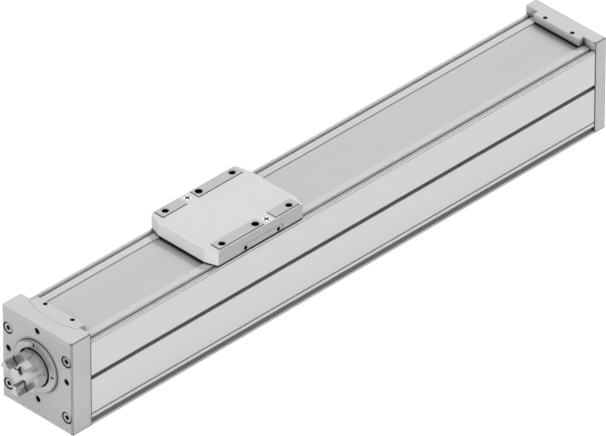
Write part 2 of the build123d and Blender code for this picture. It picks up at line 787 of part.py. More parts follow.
# Ball screw: shaft end, bearing journal, screw and idle journal on one axis
shaft_axis = Axis((0, 0, shaft_height), (1, 0, 0))
with BuildPart() as ball_screw:
    with BuildSketch(Plane(origin=(0, 0, shaft_height), x_dir=(1, 0, 0), z_dir=(0, -1, 0))):
        with BuildLine():
            Polyline(
                (shaft_start, 0),
                (shaft_start, shaft_end_diameter / 2),
                (lock_nut_start, shaft_end_diameter / 2),
                (lock_nut_start, journal_diameter / 2),
                (fixed_bearing_end, journal_diameter / 2),
                (fixed_bearing_end, screw_diameter / 2),
                (idle_bearing_start, screw_diameter / 2),
                (idle_bearing_start, shaft_end_diameter / 2),
                (idle_bearing_end, shaft_end_diameter / 2),
                (idle_bearing_end, shaft_end_diameter / 2 - circlip_groove),
                (idle_bearing_end + circlip_thickness, shaft_end_diameter / 2 - circlip_groove),
                (idle_bearing_end + circlip_thickness, shaft_end_diameter / 2),
                (shaft_end, shaft_end_diameter / 2),
                (shaft_end, 0),
                close=True,
            )
        make_face()
    revolve(axis=shaft_axis)
with BuildPart() as bearing_lock_nut:
    with BuildSketch(rear_plane(lock_nut_start, shaft_height)):
        Circle(lock_nut_diameter / 2)
        Circle(journal_diameter / 2 + thread_gap, mode=Mode.SUBTRACT)
        with PolarLocations(lock_nut_diameter / 2, 4):
            Rectangle(2 * ring_slot_depth, 2 * ring_slot_width, mode=Mode.SUBTRACT)
    extrude(amount=lock_nut_thickness)
with BuildPart() as idle_circlip:
    with BuildSketch(rear_plane(idle_bearing_end, shaft_height)):
        Circle(shaft_end_diameter / 2 + circlip_rise)
        Circle(shaft_end_diameter / 2 - circlip_groove + seat_clearance, mode=Mode.SUBTRACT)
        with Locations((0, -shaft_end_diameter / 2)):
            Rectangle(circlip_opening, shaft_end_diameter, mode=Mode.SUBTRACT)
    extrude(amount=circlip_thickness)

# Coupling hub: clamping hub with a slit, three claws towards the motor and a cross screw
hub_length = hub_back - hub_front
hub_screw_x = hub_back - hub_screw_setback
hub_screw_plane = Plane.XY.move(Location((hub_screw_x, hub_screw_offset, shaft_height)))
with BuildPart() as coupling_hub:
    with BuildSketch(front_plane(hub_back, shaft_height)):
        Circle(hub_diameter / 2)
    extrude(amount=hub_length)
    with Locations(front_plane(hub_front, shaft_height)):
        CounterSinkHole(shaft_end_diameter / 2 + seat_clearance, shaft_end_diameter / 2 + hub_chamfer)
    with BuildSketch(front_plane(hub_front, shaft_height)):
        with Locations((-hub_diameter / 2, 0)):
            Rectangle(hub_diameter, hub_slit_width)
    extrude(amount=-hub_length, mode=Mode.SUBTRACT)
    with Locations(hub_screw_plane.offset(hub_diameter / 2)):
        CounterBoreHole(
            hub_screw_thread / 2 + thread_gap,
            hub_screw_head / 2 + thread_gap,
            hub_diameter / 2 - hub_screw_seat,
            depth=hub_diameter,
        )
    with BuildSketch(rear_plane(hub_front, shaft_height)) as claws:
        Circle(hub_diameter / 2)
        Circle(claw_inner_radius, mode=Mode.SUBTRACT)
        with PolarLocations(hub_diameter / 2, claw_count, start_angle=90):
            Rectangle(hub_diameter, claw_gap_width, mode=Mode.SUBTRACT)
        fillet(claws.vertices(), radius=claw_edge)
    extrude(amount=hub_reach - claw_reach)
hub_screw = socket_screw(hub_screw_thread, hub_screw_length, hub_screw_head, hub_screw_thread)
with BuildPart() as hub_clamp_screw:
    with Locations(hub_screw_plane.offset(hub_screw_seat)):
        add(hub_screw)

# Two runner blocks astride the rail, each a steel body between two plastic end caps
def runner_section(inset):
    """Draws a block's cross-section, open below for the rail, smaller all round by inset."""
    with Locations((0, block_bottom + inset)):
        Rectangle(
            block_width - 2 * inset,
            block_top - block_bottom - 2 * inset,
            align=(Align.CENTER, Align.MIN),
        )
    with Locations((0, block_bottom)):
        Rectangle(
            rail_width + 2 * block_rail_gap,
            rail_top + block_rail_gap - block_bottom,
            align=(Align.CENTER, Align.MIN),
            mode=Mode.SUBTRACT,
        )


block_half = block_steel_length / 2
with BuildPart() as runner_block:
    with BuildSketch(rear_plane(-block_half)):
        runner_section(0)
    extrude(amount=block_steel_length)
    with Locations((0, 0, block_top)):
        with GridLocations(block_screw_spacing_x, block_screw_spacing_y, 2, 2):
            Hole(rail_screw_thread / 2 + thread_gap, depth=block_screw_hole_depth)
with BuildPart() as runner_caps:
    with BuildSketch(rear_plane(block_half)):
        runner_section(block_cap_inset)
    extrude(amount=block_cap_length)
    with BuildSketch(front_plane(-block_half)):
        runner_section(block_cap_inset)
    extrude(amount=block_cap_length)
with BuildPart() as runner_blocks:
    with Locations((x_carriage, 0, 0)):
        with GridLocations(block_spacing, 0, 2, 1):
            add(runner_block.part)
with BuildPart() as runner_end_caps:
    with Locations((x_carriage, 0, 0)):
        with GridLocations(block_spacing, 0, 2, 1):
            add(runner_caps.part)

# Nut carrier: base plate on the blocks, housing round the nut and the web through the profile's opening
with BuildPart() as nut_carrier:
    with BuildSketch(rear_plane(x_carriage - carrier_half_length)):
        with Locations((0, block_top)):
            Rectangle(block_width, carrier_base_thickness, align=(Align.CENTER, Align.MIN))
    extrude(amount=2 * carrier_half_length)
    with BuildSketch(rear_plane(x_carriage - carrier_housing_half_length)):
        with BuildLine():
            Polyline(
                (0, block_top),
                (carrier_half_width, block_top),
                (carrier_half_width, carrier_top - carrier_corner),
                (carrier_half_width - carrier_corner, carrier_top),
                (web_half_width, carrier_top),
                (web_half_width, carriage_bottom),
                (0, carriage_bottom),
            )
            mirror(about=Plane.YZ)
        make_face()
        with Locations((0, shaft_height)):
            Circle(nut_diameter / 2 + nut_seat_gap, mode=Mode.SUBTRACT)
    extrude(amount=2 * carrier_housing_half_length)
    with Locations((x_carriage, 0, carrier_base_top)):
        with GridLocations(block_spacing, 0, 2, 1):
            with GridLocations(block_screw_spacing_x, block_screw_spacing_y, 2, 2):
                CounterBoreHole(
                    rail_screw_thread / 2 + thread_gap,
                    rail_screw_bore / 2,
                    block_screw_sink,
                    depth=carrier_base_thickness,
                )
    with Locations(front_plane(nut_flange_face, shaft_height)):
        with GridLocations(nut_screw_spread_y, nut_screw_spread_z, 2, 2):
            Hole(rail_screw_thread / 2 + thread_gap, depth=nut_screw_length)
    with Locations((x_carriage, 0, carriage_bottom)):
        with GridLocations(bridge_screw_spacing_x, bridge_screw_spacing_y, 2, 2):
            Hole(bridge_screw_thread / 2 + thread_gap, depth=bridge_screw_length - bridge_thickness)
block_screw = socket_screw(
    rail_screw_thread,
    carrier_base_thickness - block_screw_sink + block_screw_grip,
    rail_screw_head,
    rail_screw_head_height,
)
with BuildPart() as carrier_screws:
    with Locations((x_carriage, 0, carrier_base_top - block_screw_sink)):
        with GridLocations(block_spacing, 0, 2, 1):
            with GridLocations(block_screw_spacing_x, block_screw_spacing_y, 2, 2):
                add(block_screw)

# Ball nut with a flange flattened above and below, and its four screws
with BuildPart() as ball_nut:
    with BuildSketch(front_plane(nut_flange_face, shaft_height)):
        Circle(nut_flange_diameter / 2)
        Rectangle(nut_flange_diameter, 2 * nut_flange_half_height, mode=Mode.INTERSECT)
    extrude(amount=nut_flange_thickness)
    with BuildSketch(rear_plane(nut_flange_face, shaft_height)):
        Circle(nut_diameter / 2)
    extrude(amount=nut_length - nut_flange_thickness)
    with Locations(front_plane(nut_flange_face - nut_flange_thickness, shaft_height)):
        Hole(screw_diameter / 2 + nut_running_gap, depth=nut_length)
        with GridLocations(nut_screw_spread_y, nut_screw_spread_z, 2, 2):
            Hole(rail_screw_thread / 2 + thread_gap, depth=nut_flange_thickness)
nut_screw = socket_screw(rail_screw_thread, nut_screw_length, rail_screw_head, rail_screw_head_height)
with BuildPart() as nut_screws:
    with Locations(front_plane(nut_flange_face - nut_flange_thickness, shaft_height)):
        with GridLocations(nut_screw_spread_y, nut_screw_spread_z, 2, 2):
            add(nut_screw)

# Carriage body: two side rails joined by a bridge under the lifted strip, with raised faces for the load
with BuildPart() as carriage_body:
    with BuildSketch(rear_plane(x_carriage - body_half_length)):
        with Locations((0, (carriage_bottom + cover_underside) / 2)):
            Rectangle(2 * body_half_width, cover_underside - carriage_bottom)
            Rectangle(2 * channel_half_width, cover_underside - carriage_bottom, mode=Mode.SUBTRACT)
    extrude(amount=2 * body_half_length)
    with BuildSketch(rear_plane(x_carriage - bridge_half_length)):
        with Locations((0, carriage_bottom)):
            Rectangle(2 * channel_half_width, bridge_thickness, align=(Align.CENTER, Align.MIN))
    extrude(amount=2 * bridge_half_length)
    for side in (-1, 1):
        with BuildSketch(Plane.XY.offset(cover_underside)):
            with Locations((x_carriage, side * (pad_inner_edge + body_half_width) / 2)):
                for start, end in ((long_pad_start, long_pad_end), (short_pad_start, short_pad_end)):
                    with Locations((side * (start + end) / 2, 0)):
                        Rectangle(end - start, body_half_width - pad_inner_edge)
        extrude(amount=carriage_top - cover_underside)
        tag_root = tag_plane(x_carriage, side * body_half_width)
        tag_reach = cover_half_width - tag_pad_setback - body_half_width
        with BuildSketch(tag_root) as tag_face:
            with Locations(((tag_pad_start + tag_pad_end) / 2, 0)):
                Rectangle(tag_pad_end - tag_pad_start, tag_pad_height, align=(Align.CENTER, Align.MIN))
            fillet(tag_face.vertices().group_by(Axis.Y)[-1], radius=tag_pad_radius)
        extrude(amount=tag_reach)
        with Locations(tag_root.offset(tag_reach)):
            with Locations((tag_hole_start, tag_hole_height), (tag_hole_end, tag_hole_height)):
                Hole(tag_hole_tap / 2, depth=tag_hole_depth)
    with Locations((x_carriage, 0, carriage_top)):
        with GridLocations(payload_spacing_x, payload_spacing_y, 2, 2):
            CounterSinkHole(m5_tap / 2, m5_tap / 2 + thread_chamfer, depth=payload_thread_depth)
        with GridLocations(0, payload_spacing_y, 1, 2):
            Hole(centring_diameter / 2, depth=centring_depth)
    with Locations((x_carriage, 0, cover_underside)):
        with Locations(*cover_screw_places):
            Hole(cover_screw_thread / 2 + thread_gap, depth=cover_screw_length)
    with Locations((x_carriage, 0, bridge_top)):
        with GridLocations(bridge_screw_spacing_x, bridge_screw_spacing_y, 2, 2):
            CounterSinkHole(
                bridge_screw_thread / 2 + thread_gap,
                bridge_screw_head / 2 + thread_gap,
                depth=bridge_thickness,
                counter_sink_angle=bridge_sink_angle,
            )
bridge_screw = countersunk_screw(
    bridge_screw_thread,
    bridge_screw_length,
    bridge_screw_head,
    bridge_screw_head_height,
)
with BuildPart() as bridge_screws:
    with Locations((x_carriage, 0, bridge_top)):
        with GridLocations(bridge_screw_spacing_x, bridge_screw_spacing_y, 2, 2):
            add(bridge_screw)


def nosed_outline(half_length, side_half_length, nose_half_width, half_width):
    """The plan of the carriage cover: straight sides, and a nose at both ends with tapered corners."""
    with BuildSketch() as outline:
        with BuildLine():
            Polyline(
                (half_length, 0),
                (half_length, nose_half_width),
                (side_half_length, half_width),
                (0, half_width),
            )
            mirror(about=Plane.YZ)
            mirror(about=Plane.XZ)
        make_face()
    return outline.sketch


# Carriage cover: a shell whose top falls away at both ends, with windows for the load faces
cover_half_length = cover_length / 2
with BuildPart() as carriage_cover:
    with BuildSketch(Plane.XY.offset(carriage_bottom)):
        add(nosed_outline(cover_half_length, cover_side_length / 2, cover_nose_half_width, cover_half_width))
    extrude(amount=cover_top - carriage_bottom)
    with BuildSketch(Plane.XZ):
        with BuildLine():
            slope_start = cover_half_length - cover_slope_length
            slope_end = cover_top - cover_slope_drop
            roof = Line((0, cover_top), (slope_start, cover_top))
            slope = TangentArc(roof @ 1, (cover_half_length, slope_end), tangent=(1, 0))
            Line(slope @ 1, (cover_half_length, carriage_bottom))
            Line((cover_half_length, carriage_bottom), (0, carriage_bottom))
            mirror(about=Plane.YZ)
        make_face()
    extrude(amount=cover_half_width, both=True, mode=Mode.INTERSECT)
    fillet(carriage_cover.edges().filter_by(Axis.Z).group_by(Axis.Y)[0], radius=cover_corner_radius)
    fillet(carriage_cover.edges().filter_by(Axis.Z).group_by(Axis.Y)[-1], radius=cover_corner_radius)
    with BuildSketch(Plane.XY.offset(carriage_bottom)):
        hollow_side_half_length = body_half_length + cover_side_gap
        hollow_half_width = body_half_width + cover_side_gap
        hollow_half_length = cover_half_length - cover_end_wall
        add(nosed_outline(hollow_half_length, hollow_side_half_length, channel_half_width, hollow_half_width))
    extrude(amount=cover_underside - carriage_bottom, mode=Mode.SUBTRACT)
    for side in (-1, 1):
        with BuildSketch(Plane.XY.offset(cover_top)):
            for start, end in ((long_pad_start, long_pad_end), (short_pad_start, short_pad_end)):
                with Locations((side * (start + end) / 2, side * (pad_inner_edge + body_half_width) / 2)):
                    Rectangle(
                        end - start + 2 * window_gap,
                        body_half_width - pad_inner_edge + 2 * window_gap,
                    )
        extrude(amount=-cover_roof, mode=Mode.SUBTRACT)
        with BuildSketch(tag_plane(0, side * cover_half_width)) as window:
            with Locations(((tag_pad_start + tag_pad_end) / 2, 0)):
                Rectangle(
                    tag_pad_end - tag_pad_start + 2 * window_gap,
                    tag_pad_height + window_gap,
                    align=(Align.CENTER, Align.MIN),
                )
            fillet(window.vertices().group_by(Axis.Y)[-1], radius=tag_pad_radius)
        extrude(amount=body_half_width - cover_half_width, mode=Mode.SUBTRACT)
    with Locations((0, 0, cover_top)):
        with Locations(*cover_screw_places):
            CounterSinkHole(
                cover_screw_thread / 2 + thread_gap,
                cover_screw_head / 2 + thread_gap,
                depth=cover_roof,
                counter_sink_angle=cover_sink_angle,
            )
carriage_cover.part.move(Location((x_carriage, 0, 0)))
with BuildPart() as cross_screw:
    add(
        countersunk_screw(
            cover_screw_thread,
            cover_screw_length,
            cover_screw_head,
            cover_screw_head_height,
        )
    )
    with BuildSketch():
        Rectangle(cross_length, cross_width)
        Rectangle(cross_width, cross_length)
    extrude(amount=-cross_depth, mode=Mode.SUBTRACT)
with BuildPart() as cover_screws:
    with Locations((x_carriage, 0, cover_top)):
        with Locations(*cover_screw_places):
            add(cross_screw.part)

# Strip guides inside both ends of the cover, and the wipers in front of them
with BuildPart() as strip_guides:
    with BuildSketch(Plane.XZ.offset(-channel_half_width + guide_side_gap)):
        with BuildLine():
            ramp = (lifted_strip - moving_strip_floor) / (strip_ramp_end - strip_ramp_start)
            guide_low = moving_strip_floor + strip_thickness + guide_gap
            guide_high = guide_low + ramp * (strip_ramp_end - guide_start)
            Polyline(
                (guide_start, cover_underside),
                (guide_start, guide_high),
                (strip_ramp_end, guide_low),
                (wiper_start, guide_low),
                (wiper_start, cover_underside),
                close=True,
            )
        make_face()
    extrude(amount=2 * (channel_half_width - guide_side_gap))
    mirror(about=Plane.YZ)
strip_guides.part.move(Location((x_carriage, 0, 0)))
with BuildPart() as strip_wipers:
    for facing in (rear_plane(wiper_start), front_plane(-wiper_start)):
        with BuildSketch(facing):
            with Locations((0, moving_strip_floor + strip_thickness + wiper_gap)):
                Rectangle(
                    2 * (channel_half_width - guide_side_gap),
                    cover_underside - moving_strip_floor - strip_thickness - wiper_gap,
                    align=(Align.CENTER, Align.MIN),
                )
        extrude(amount=wiper_thickness)
strip_wipers.part.move(Location((x_carriage, 0, 0)))

pieces = {
    "profile": profile,
    "drive_end_cap": drive_end_cap,
    "idle_end_cap": idle_end_cap,
    "drive_cap_screws": drive_cap_screws,
    "idle_cap_screws": idle_cap_screws,
    "drive_strip_clamp": drive_strip_clamp,
    "idle_strip_clamp": idle_strip_clamp,
    "drive_clamp_screws": drive_clamp_screws,
    "idle_clamp_screws": idle_clamp_screws,
    "strip_drive_side": strip_drive_side,
    "strip_idle_side": strip_idle_side,
    "strip_in_carriage": strip_in_carriage,
    "magnet_strips": magnet_strips,
    "guide_rail": guide_rail,
    "guide_rail_screws": guide_rail_screws,
    "fixed_bearing_outer_rings": fixed_bearing_outer_rings,
    "fixed_bearing_balls": fixed_bearing_balls,
    "fixed_bearing_inner_rings": fixed_bearing_inner_rings,
    "floating_bearing_outer_ring": floating_bearing_outer_ring,
    "floating_bearing_balls": floating_bearing_balls,
    "floating_bearing_inner_ring": floating_bearing_inner_ring,
    "bearing_retaining_ring": bearing_retaining_ring,
    "drive_buffer": drive_buffer,
    "idle_buffer": idle_buffer,
    "ball_screw": ball_screw,
    "bearing_lock_nut": bearing_lock_nut,
    "idle_circlip": idle_circlip,
    "coupling_hub": coupling_hub,
    "hub_clamp_screw": hub_clamp_screw,
    "runner_blocks": runner_blocks,
    "runner_end_caps": runner_end_caps,
    "nut_carrier": nut_carrier,
    "carrier_screws": carrier_screws,
    "ball_nut": ball_nut,
    "nut_screws": nut_screws,
    "carriage_body": carriage_body,
    "bridge_screws": bridge_screws,
    "carriage_cover": carriage_cover,
    "cover_screws": cover_screws,
    "strip_guides": strip_guides,
    "strip_wipers": strip_wipers,
}
os.makedirs("parts", exist_ok=True)
for name, piece in pieces.items():
    piece.part.label = name
    export_step(piece.part, f"parts/{name}.step")
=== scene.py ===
"""Dresses a ball screw linear axis: finishes, cover strip, screw track, coupling claws and stage."""

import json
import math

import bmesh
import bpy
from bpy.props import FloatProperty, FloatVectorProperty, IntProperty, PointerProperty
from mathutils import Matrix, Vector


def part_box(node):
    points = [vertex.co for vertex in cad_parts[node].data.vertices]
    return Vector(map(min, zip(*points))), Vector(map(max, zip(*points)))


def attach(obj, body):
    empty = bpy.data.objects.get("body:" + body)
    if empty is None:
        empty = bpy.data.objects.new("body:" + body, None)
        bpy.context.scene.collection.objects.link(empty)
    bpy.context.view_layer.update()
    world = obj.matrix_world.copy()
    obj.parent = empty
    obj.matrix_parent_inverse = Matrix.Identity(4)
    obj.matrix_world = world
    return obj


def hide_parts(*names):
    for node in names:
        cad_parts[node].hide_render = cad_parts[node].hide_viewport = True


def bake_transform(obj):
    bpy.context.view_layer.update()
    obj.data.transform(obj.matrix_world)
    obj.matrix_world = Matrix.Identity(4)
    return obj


bl_info = {
    "name": "Ball Screw Linear Axis",
    "version": (1, 0, 0),
    "blender": (4, 5, 0),
    "location": "View3D > Sidebar > Linear Axis",
    "description": "Finishes, cover strip, screw track, coupling claws and studio for a linear axis",
    "category": "Object",
}

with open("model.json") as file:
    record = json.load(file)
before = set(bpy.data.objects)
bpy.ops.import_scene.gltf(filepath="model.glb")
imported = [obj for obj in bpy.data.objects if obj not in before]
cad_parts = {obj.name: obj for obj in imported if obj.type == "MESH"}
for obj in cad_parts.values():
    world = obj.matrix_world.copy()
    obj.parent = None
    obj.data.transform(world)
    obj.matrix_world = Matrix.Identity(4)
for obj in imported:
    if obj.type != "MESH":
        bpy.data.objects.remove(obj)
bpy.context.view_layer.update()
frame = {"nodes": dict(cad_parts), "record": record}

SPINDLE = "spindle"
CARRIAGE = "carriage"
COVER_HEAD_DIAMETER = 0.005
SHAFT_HEIGHT = (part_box("ball_screw")[0][2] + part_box("ball_screw")[1][2]) / 2

ANODISED = "anodised_profile"
CAP_METAL = "cap_metal"
INNER_METAL = "inner_aluminium"
PLATED = "plated_screws"
BLACK_OXIDE = "dark_screws"
BRIGHT = "bright_screws"
STRIP_STEEL = "strip_steel"
MAGNET = "magnet"
GROUND_STEEL = "ground_steel"
TURNED = "turned_ring"
HUB_METAL = "hub_aluminium"
RUBBER = "buffer_rubber"
RUNNER_PLASTIC = "runner_plastic"
GUIDE_PLASTIC = "guide_plastic"
COVER_PLASTIC = "cover_plastic"
CARRIAGE_METAL = "carriage_metal"

EVEN = (1.0, 1.0, 1.0)
WHITE = (1.0, 1.0, 1.0, 1.0)
GRAIN_HEIGHT = 0.00002
MOTTLE_HEIGHT = 0.00005


def colour(name, description, value):
    """A colour property in linear light."""
    return FloatVectorProperty(
        name=name,
        description=description,
        default=value,
        size=3,
        min=0.0,
        max=1.0,
        subtype="COLOR",
    )


class LinearAxisSizes(bpy.types.PropertyGroup):
    """Sizes of the pieces built here and reaches of the painted shade"""

    edge_break: FloatProperty(
        name="Edge break",
        description="Radius that the light sees on the sharp edges of machined pieces",
        default=0.0003,
        min=0.0,
        max=0.001,
        precision=5,
        unit="LENGTH",
    )
    strip_sections: IntProperty(
        name="Strip sections",
        description="Number of sections along each flat stretch of the cover strip",
        default=64,
        min=8,
        max=256,
    )
    strip_edge: FloatProperty(
        name="Strip edge",
        description="Rounding of the cover strip's long edges",
        default=0.00008,
        min=0.0,
        max=0.0002,
        precision=5,
        unit="LENGTH",
    )
    claw_length: FloatProperty(
        name="Claw length",
        description="How far the coupling hub's claws stand out from its front",
        default=0.0074,
        min=0.001,
        max=0.02,
        precision=4,
        unit="LENGTH",
    )
    claw_half_angle: FloatProperty(
        name="Claw half angle",
        description="Half of the angle that a claw takes up at the hub's rim",
        default=math.radians(19),
        min=math.radians(5),
        max=math.radians(50),
        subtype="ANGLE",
    )
    claw_root: FloatProperty(
        name="Claw root",
        description="Distance of the claws' inner ends from the shaft's axis",
        default=0.0062,
        min=0.002,
        max=0.02,
        precision=4,
        unit="LENGTH",
    )
    cross_length: FloatProperty(
        name="Cross length",
        description="Length of the cross recess in the cover screws",
        default=0.0040,
        min=0.001,
        max=0.01,
        precision=4,
        unit="LENGTH",
    )
    cross_width: FloatProperty(
        name="Cross width",
        description="Width of the cross recess's arms",
        default=0.0010,
        min=0.0002,
        max=0.005,
        precision=4,
        unit="LENGTH",
    )
    hub_bore: FloatProperty(
        name="Hub bore",
        description="Radius of the coupling hub's bore",
        default=0.0045,
        min=0.001,
        max=0.02,
        precision=4,
        unit="LENGTH",
    )
    hub_slit: FloatProperty(
        name="Hub slit",
        description="Width of the slit that lets the hub clamp the shaft",
        default=0.001,
        min=0.0002,
        max=0.005,
        precision=4,
        unit="LENGTH",
    )
    screw_lead: FloatProperty(
        name="Screw lead",
        description="Travel of the carriage for one turn of the screw",
        default=0.012,
        min=0.002,
        max=0.05,
        precision=4,
        unit="LENGTH",
    )
    track_depth: FloatProperty(
        name="Track depth",
        description="Depth of the ball track in the screw",
        default=0.0009,
        min=0.0,
        max=0.002,
        precision=5,
        unit="LENGTH",
    )
    track_share: FloatProperty(
        name="Track share",
        description="Part of the lead that the ball track takes up",
        default=0.3,
        min=0.1,
        max=0.6,
        subtype="FACTOR",
    )
    # Painted shade: reach of the dark lines painted along the near long side's edges.
    painted_edge_line: FloatProperty(
        name="Edge line",
        description="Reach of the dark lines along the near long side's edges",
        default=0.0013,
        min=0.0,
        max=0.005,
        precision=5,
        unit="LENGTH",
    )
    # Painted shade: reach of the dark line painted where two pieces meet.
    seam: FloatProperty(
        name="Seam reach",
        description="Reach of the dark line where two pieces meet, before a finish changes it",
        default=0.0015,
        min=0.0,
        max=0.02,
        precision=4,
        unit="LENGTH",
    )
    # Painted shade: reach of the darkening painted in slots, holes and gaps.
    hollow: FloatProperty(
        name="Hollow reach",
        description="Reach of the darkening in slots, holes and gaps, before a finish changes it",
        default=0.005,
        min=0.0,
        max=0.05,
        precision=4,
        unit="LENGTH",
    )


class LinearAxisColours(bpy.types.PropertyGroup):
    """Base colours of the finishes and the floor"""

    profile: colour("Profile", "Clear anodised profile", (0.59, 0.59, 0.595))
    caps: colour("Caps", "Machined end caps", (0.58, 0.58, 0.585))
    strip: colour("Strip", "Rolled cover strip", (0.65, 0.65, 0.653))
    cover: colour("Cover", "Carriage cover", (0.60, 0.60, 0.60))
    faces: colour("Load faces", "Machined faces of the carriage body", (0.55, 0.55, 0.555))
    hub: colour("Hub", "Turned coupling hub", (0.68, 0.68, 0.69))
    ring: colour("Ring", "Turned retaining ring", (0.62, 0.62, 0.63))
    steel: colour("Ground steel", "Screw, rail, nut and bearings", (0.50, 0.50, 0.52))
    plated: colour("Plated screws", "Zinc plated cap screws", (0.60, 0.60, 0.61))
    oxide: colour("Black oxide", "Black oxide screws", (0.06, 0.06, 0.062))
    # Near white: partly the heads' own light metal, partly a painted sheen in place of their reflections.
    bright: colour("Bright screws", "Polished cover screws", (0.96, 0.96, 0.965))
    plastic: colour("Dark plastic", "Strip guides and runner caps", (0.035, 0.035, 0.038))
    rubber: colour("Rubber", "Buffers and wipers", (0.012, 0.012, 0.012))
    magnet: colour("Magnet", "Bonded magnet strips", (0.02, 0.018, 0.017))
    floor: colour("Floor", "Pale studio floor", (0.50, 0.50, 0.50))


class LinearAxisStage(bpy.types.PropertyGroup):
    """Camera, lamps, sky and floor"""

    azimuth: FloatProperty(
        name="Azimuth",
        description="Turn of the camera round the object",
        default=math.radians(-45.02),
        subtype="ANGLE",
    )
    elevation: FloatProperty(
        name="Elevation",
        description="Height of the camera above the horizon",
        default=math.radians(35.13),
        subtype="ANGLE",
    )
    distance: FloatProperty(
        name="Distance",
        description="Distance from the camera to its target",
        default=8.37,
        min=1.0,
        max=50.0,
        unit="LENGTH",
    )
    lens: FloatProperty(
        name="Lens",
        description="Focal length in millimetres on a sensor 36 mm wide",
        default=816.1,
        min=50.0,
        max=2000.0,
    )
    sky: FloatProperty(
        name="Sky",
        description="Strength of the even light from all round",
        default=0.35,
        min=0.0,
        max=5.0,
    )
    fill_light: FloatProperty(
        name="Fill light",
        description="Strength of the very soft lamp from the camera's side",
        default=2.0,
        min=0.0,
        max=20.0,
    )
    key_light: FloatProperty(
        name="Key light",
        description="Strength of the soft lamp from behind and above",
        default=1.9,
        min=0.0,
        max=20.0,
    )
    key_softness: FloatProperty(
        name="Key softness",
        description="Width of the lamp as the object sees it",
        default=math.radians(9),
        min=0.0,
        max=math.pi,
        subtype="ANGLE",
    )
    floor_glow: FloatProperty(
        name="Floor glow",
        description="Light that the floor adds of its own towards the camera, for a white ground",
        default=0.75,
        min=0.0,
        max=2.0,
    )


# Node helpers


def start_material(name):
    """A new material with its nodes, links and main shader."""
    material = bpy.data.materials.new(name)
    material.use_nodes = True
    nodes = material.node_tree.nodes
    return material, nodes, material.node_tree.links, nodes["Principled BSDF"]


def even_shader(shader, metallic, specular):
    """Sets what is the same all over the surface on the shader's own sockets."""
    shader.inputs["Metallic"].default_value = metallic
    shader.inputs["Specular IOR Level"].default_value = specular


def object_vector(nodes, links, scale, location=(0.0, 0.0, 0.0)):
    """Object coordinates, moved and stretched."""
    coordinates = nodes.new("ShaderNodeTexCoord")
    mapping = nodes.new("ShaderNodeMapping")
    mapping.inputs["Location"].default_value = location
    mapping.inputs["Scale"].default_value = scale
    links.new(coordinates.outputs["Object"], mapping.inputs["Vector"])
    return mapping.outputs["Vector"]


def ring_vector(nodes, links):
    """Coordinates that run round with the shaft: distance from its axis, then place along it."""
    moved = object_vector(nodes, links, EVEN, (0.0, 0.0, -SHAFT_HEIGHT))
    split = nodes.new("ShaderNodeSeparateXYZ")
    links.new(moved, split.inputs["Vector"])
    across = nodes.new("ShaderNodeCombineXYZ")
    links.new(split.outputs["Y"], across.inputs["Y"])
    links.new(split.outputs["Z"], across.inputs["Z"])
    radius = nodes.new("ShaderNodeVectorMath")
    radius.operation = "LENGTH"
    links.new(across.outputs["Vector"], radius.inputs[0])
    together = nodes.new("ShaderNodeCombineXYZ")
    links.new(radius.outputs["Value"], together.inputs["X"])
    links.new(split.outputs["X"], together.inputs["Y"])
    return together.outputs["Vector"]


def position_along(nodes, links, axis):
    """How far along an axis of the frame the surface lies."""
    geometry = nodes.new("ShaderNodeNewGeometry")
    split = nodes.new("ShaderNodeSeparateXYZ")
    links.new(geometry.outputs["Position"], split.inputs["Vector"])
    return split.outputs[axis]


def noise(nodes, links, vector, scale, detail=3.0):
    """Noise between 0 and 1 on a vector."""
    texture = nodes.new("ShaderNodeTexNoise")
    texture.inputs["Scale"].default_value = scale
    texture.inputs["Detail"].default_value = detail
    links.new(vector, texture.inputs["Vector"])
    return texture.outputs["Fac"]


def spread(nodes, links, value, low, high, start=0.3, end=0.7):
    """The value from start to end, mapped from low to high."""
    spread_node = nodes.new("ShaderNodeMapRange")
    spread_node.inputs["From Min"].default_value = start
    spread_node.inputs["From Max"].default_value = end
    spread_node.inputs["To Min"].default_value = low
    spread_node.inputs["To Max"].default_value = high
    links.new(value, spread_node.inputs["Value"])
    return spread_node.outputs["Result"]


def product(nodes, links, first, second):
    """Two factors multiplied."""
    both = nodes.new("ShaderNodeMath")
    both.operation = "MULTIPLY"
    links.new(first, both.inputs[0])
    links.new(second, both.inputs[1])
    return both.outputs["Value"]


def painted_hollow_shade(nodes, links, shading):
    """Painted shade: a factor that falls where walls within reach close a place in, and further along
    seams.
    """
    wide = nodes.new("ShaderNodeAmbientOcclusion")
    wide.inputs["Distance"].default_value = shading["reach"]
    narrow = nodes.new("ShaderNodeAmbientOcclusion")
    narrow.inputs["Distance"].default_value = shading["seam"]
    hollow = spread(nodes, links, wide.outputs["AO"], shading["depth"], 1.0, *shading["span"])
    line = spread(nodes, links, narrow.outputs["AO"], shading["seam_depth"], 1.0, *shading["seam_span"])
    return product(nodes, links, hollow, line)


def painted_facing_light_and_shade(nodes, links, side, end):
    """Painted light and shade: a factor that is 1 on faces that look up, side on the long sides and end
    towards the ends.
    """
    starts_to_face = 0.20
    fully_faces = 0.80
    geometry = nodes.new("ShaderNodeNewGeometry")
    split = nodes.new("ShaderNodeSeparateXYZ")
    links.new(geometry.outputs["Normal"], split.inputs["Vector"])
    painted_facing_factors = []
    for axis, tone in (("X", end), ("Y", side)):
        facing = nodes.new("ShaderNodeMath")
        facing.operation = "ABSOLUTE"
        links.new(split.outputs[axis], facing.inputs[0])
        painted_facing_factors.append(spread(nodes, links, facing.outputs["Value"], 1.0, tone, starts_to_face, fully_faces))
    return product(nodes, links, *painted_facing_factors)


def rounded_normal(nodes, radius):
    """The normal that the surface would have with its edges rounded."""
    rounding = nodes.new("ShaderNodeBevel")
    rounding.samples = 6
    rounding.inputs["Radius"].default_value = radius
    return rounding.outputs["Normal"]


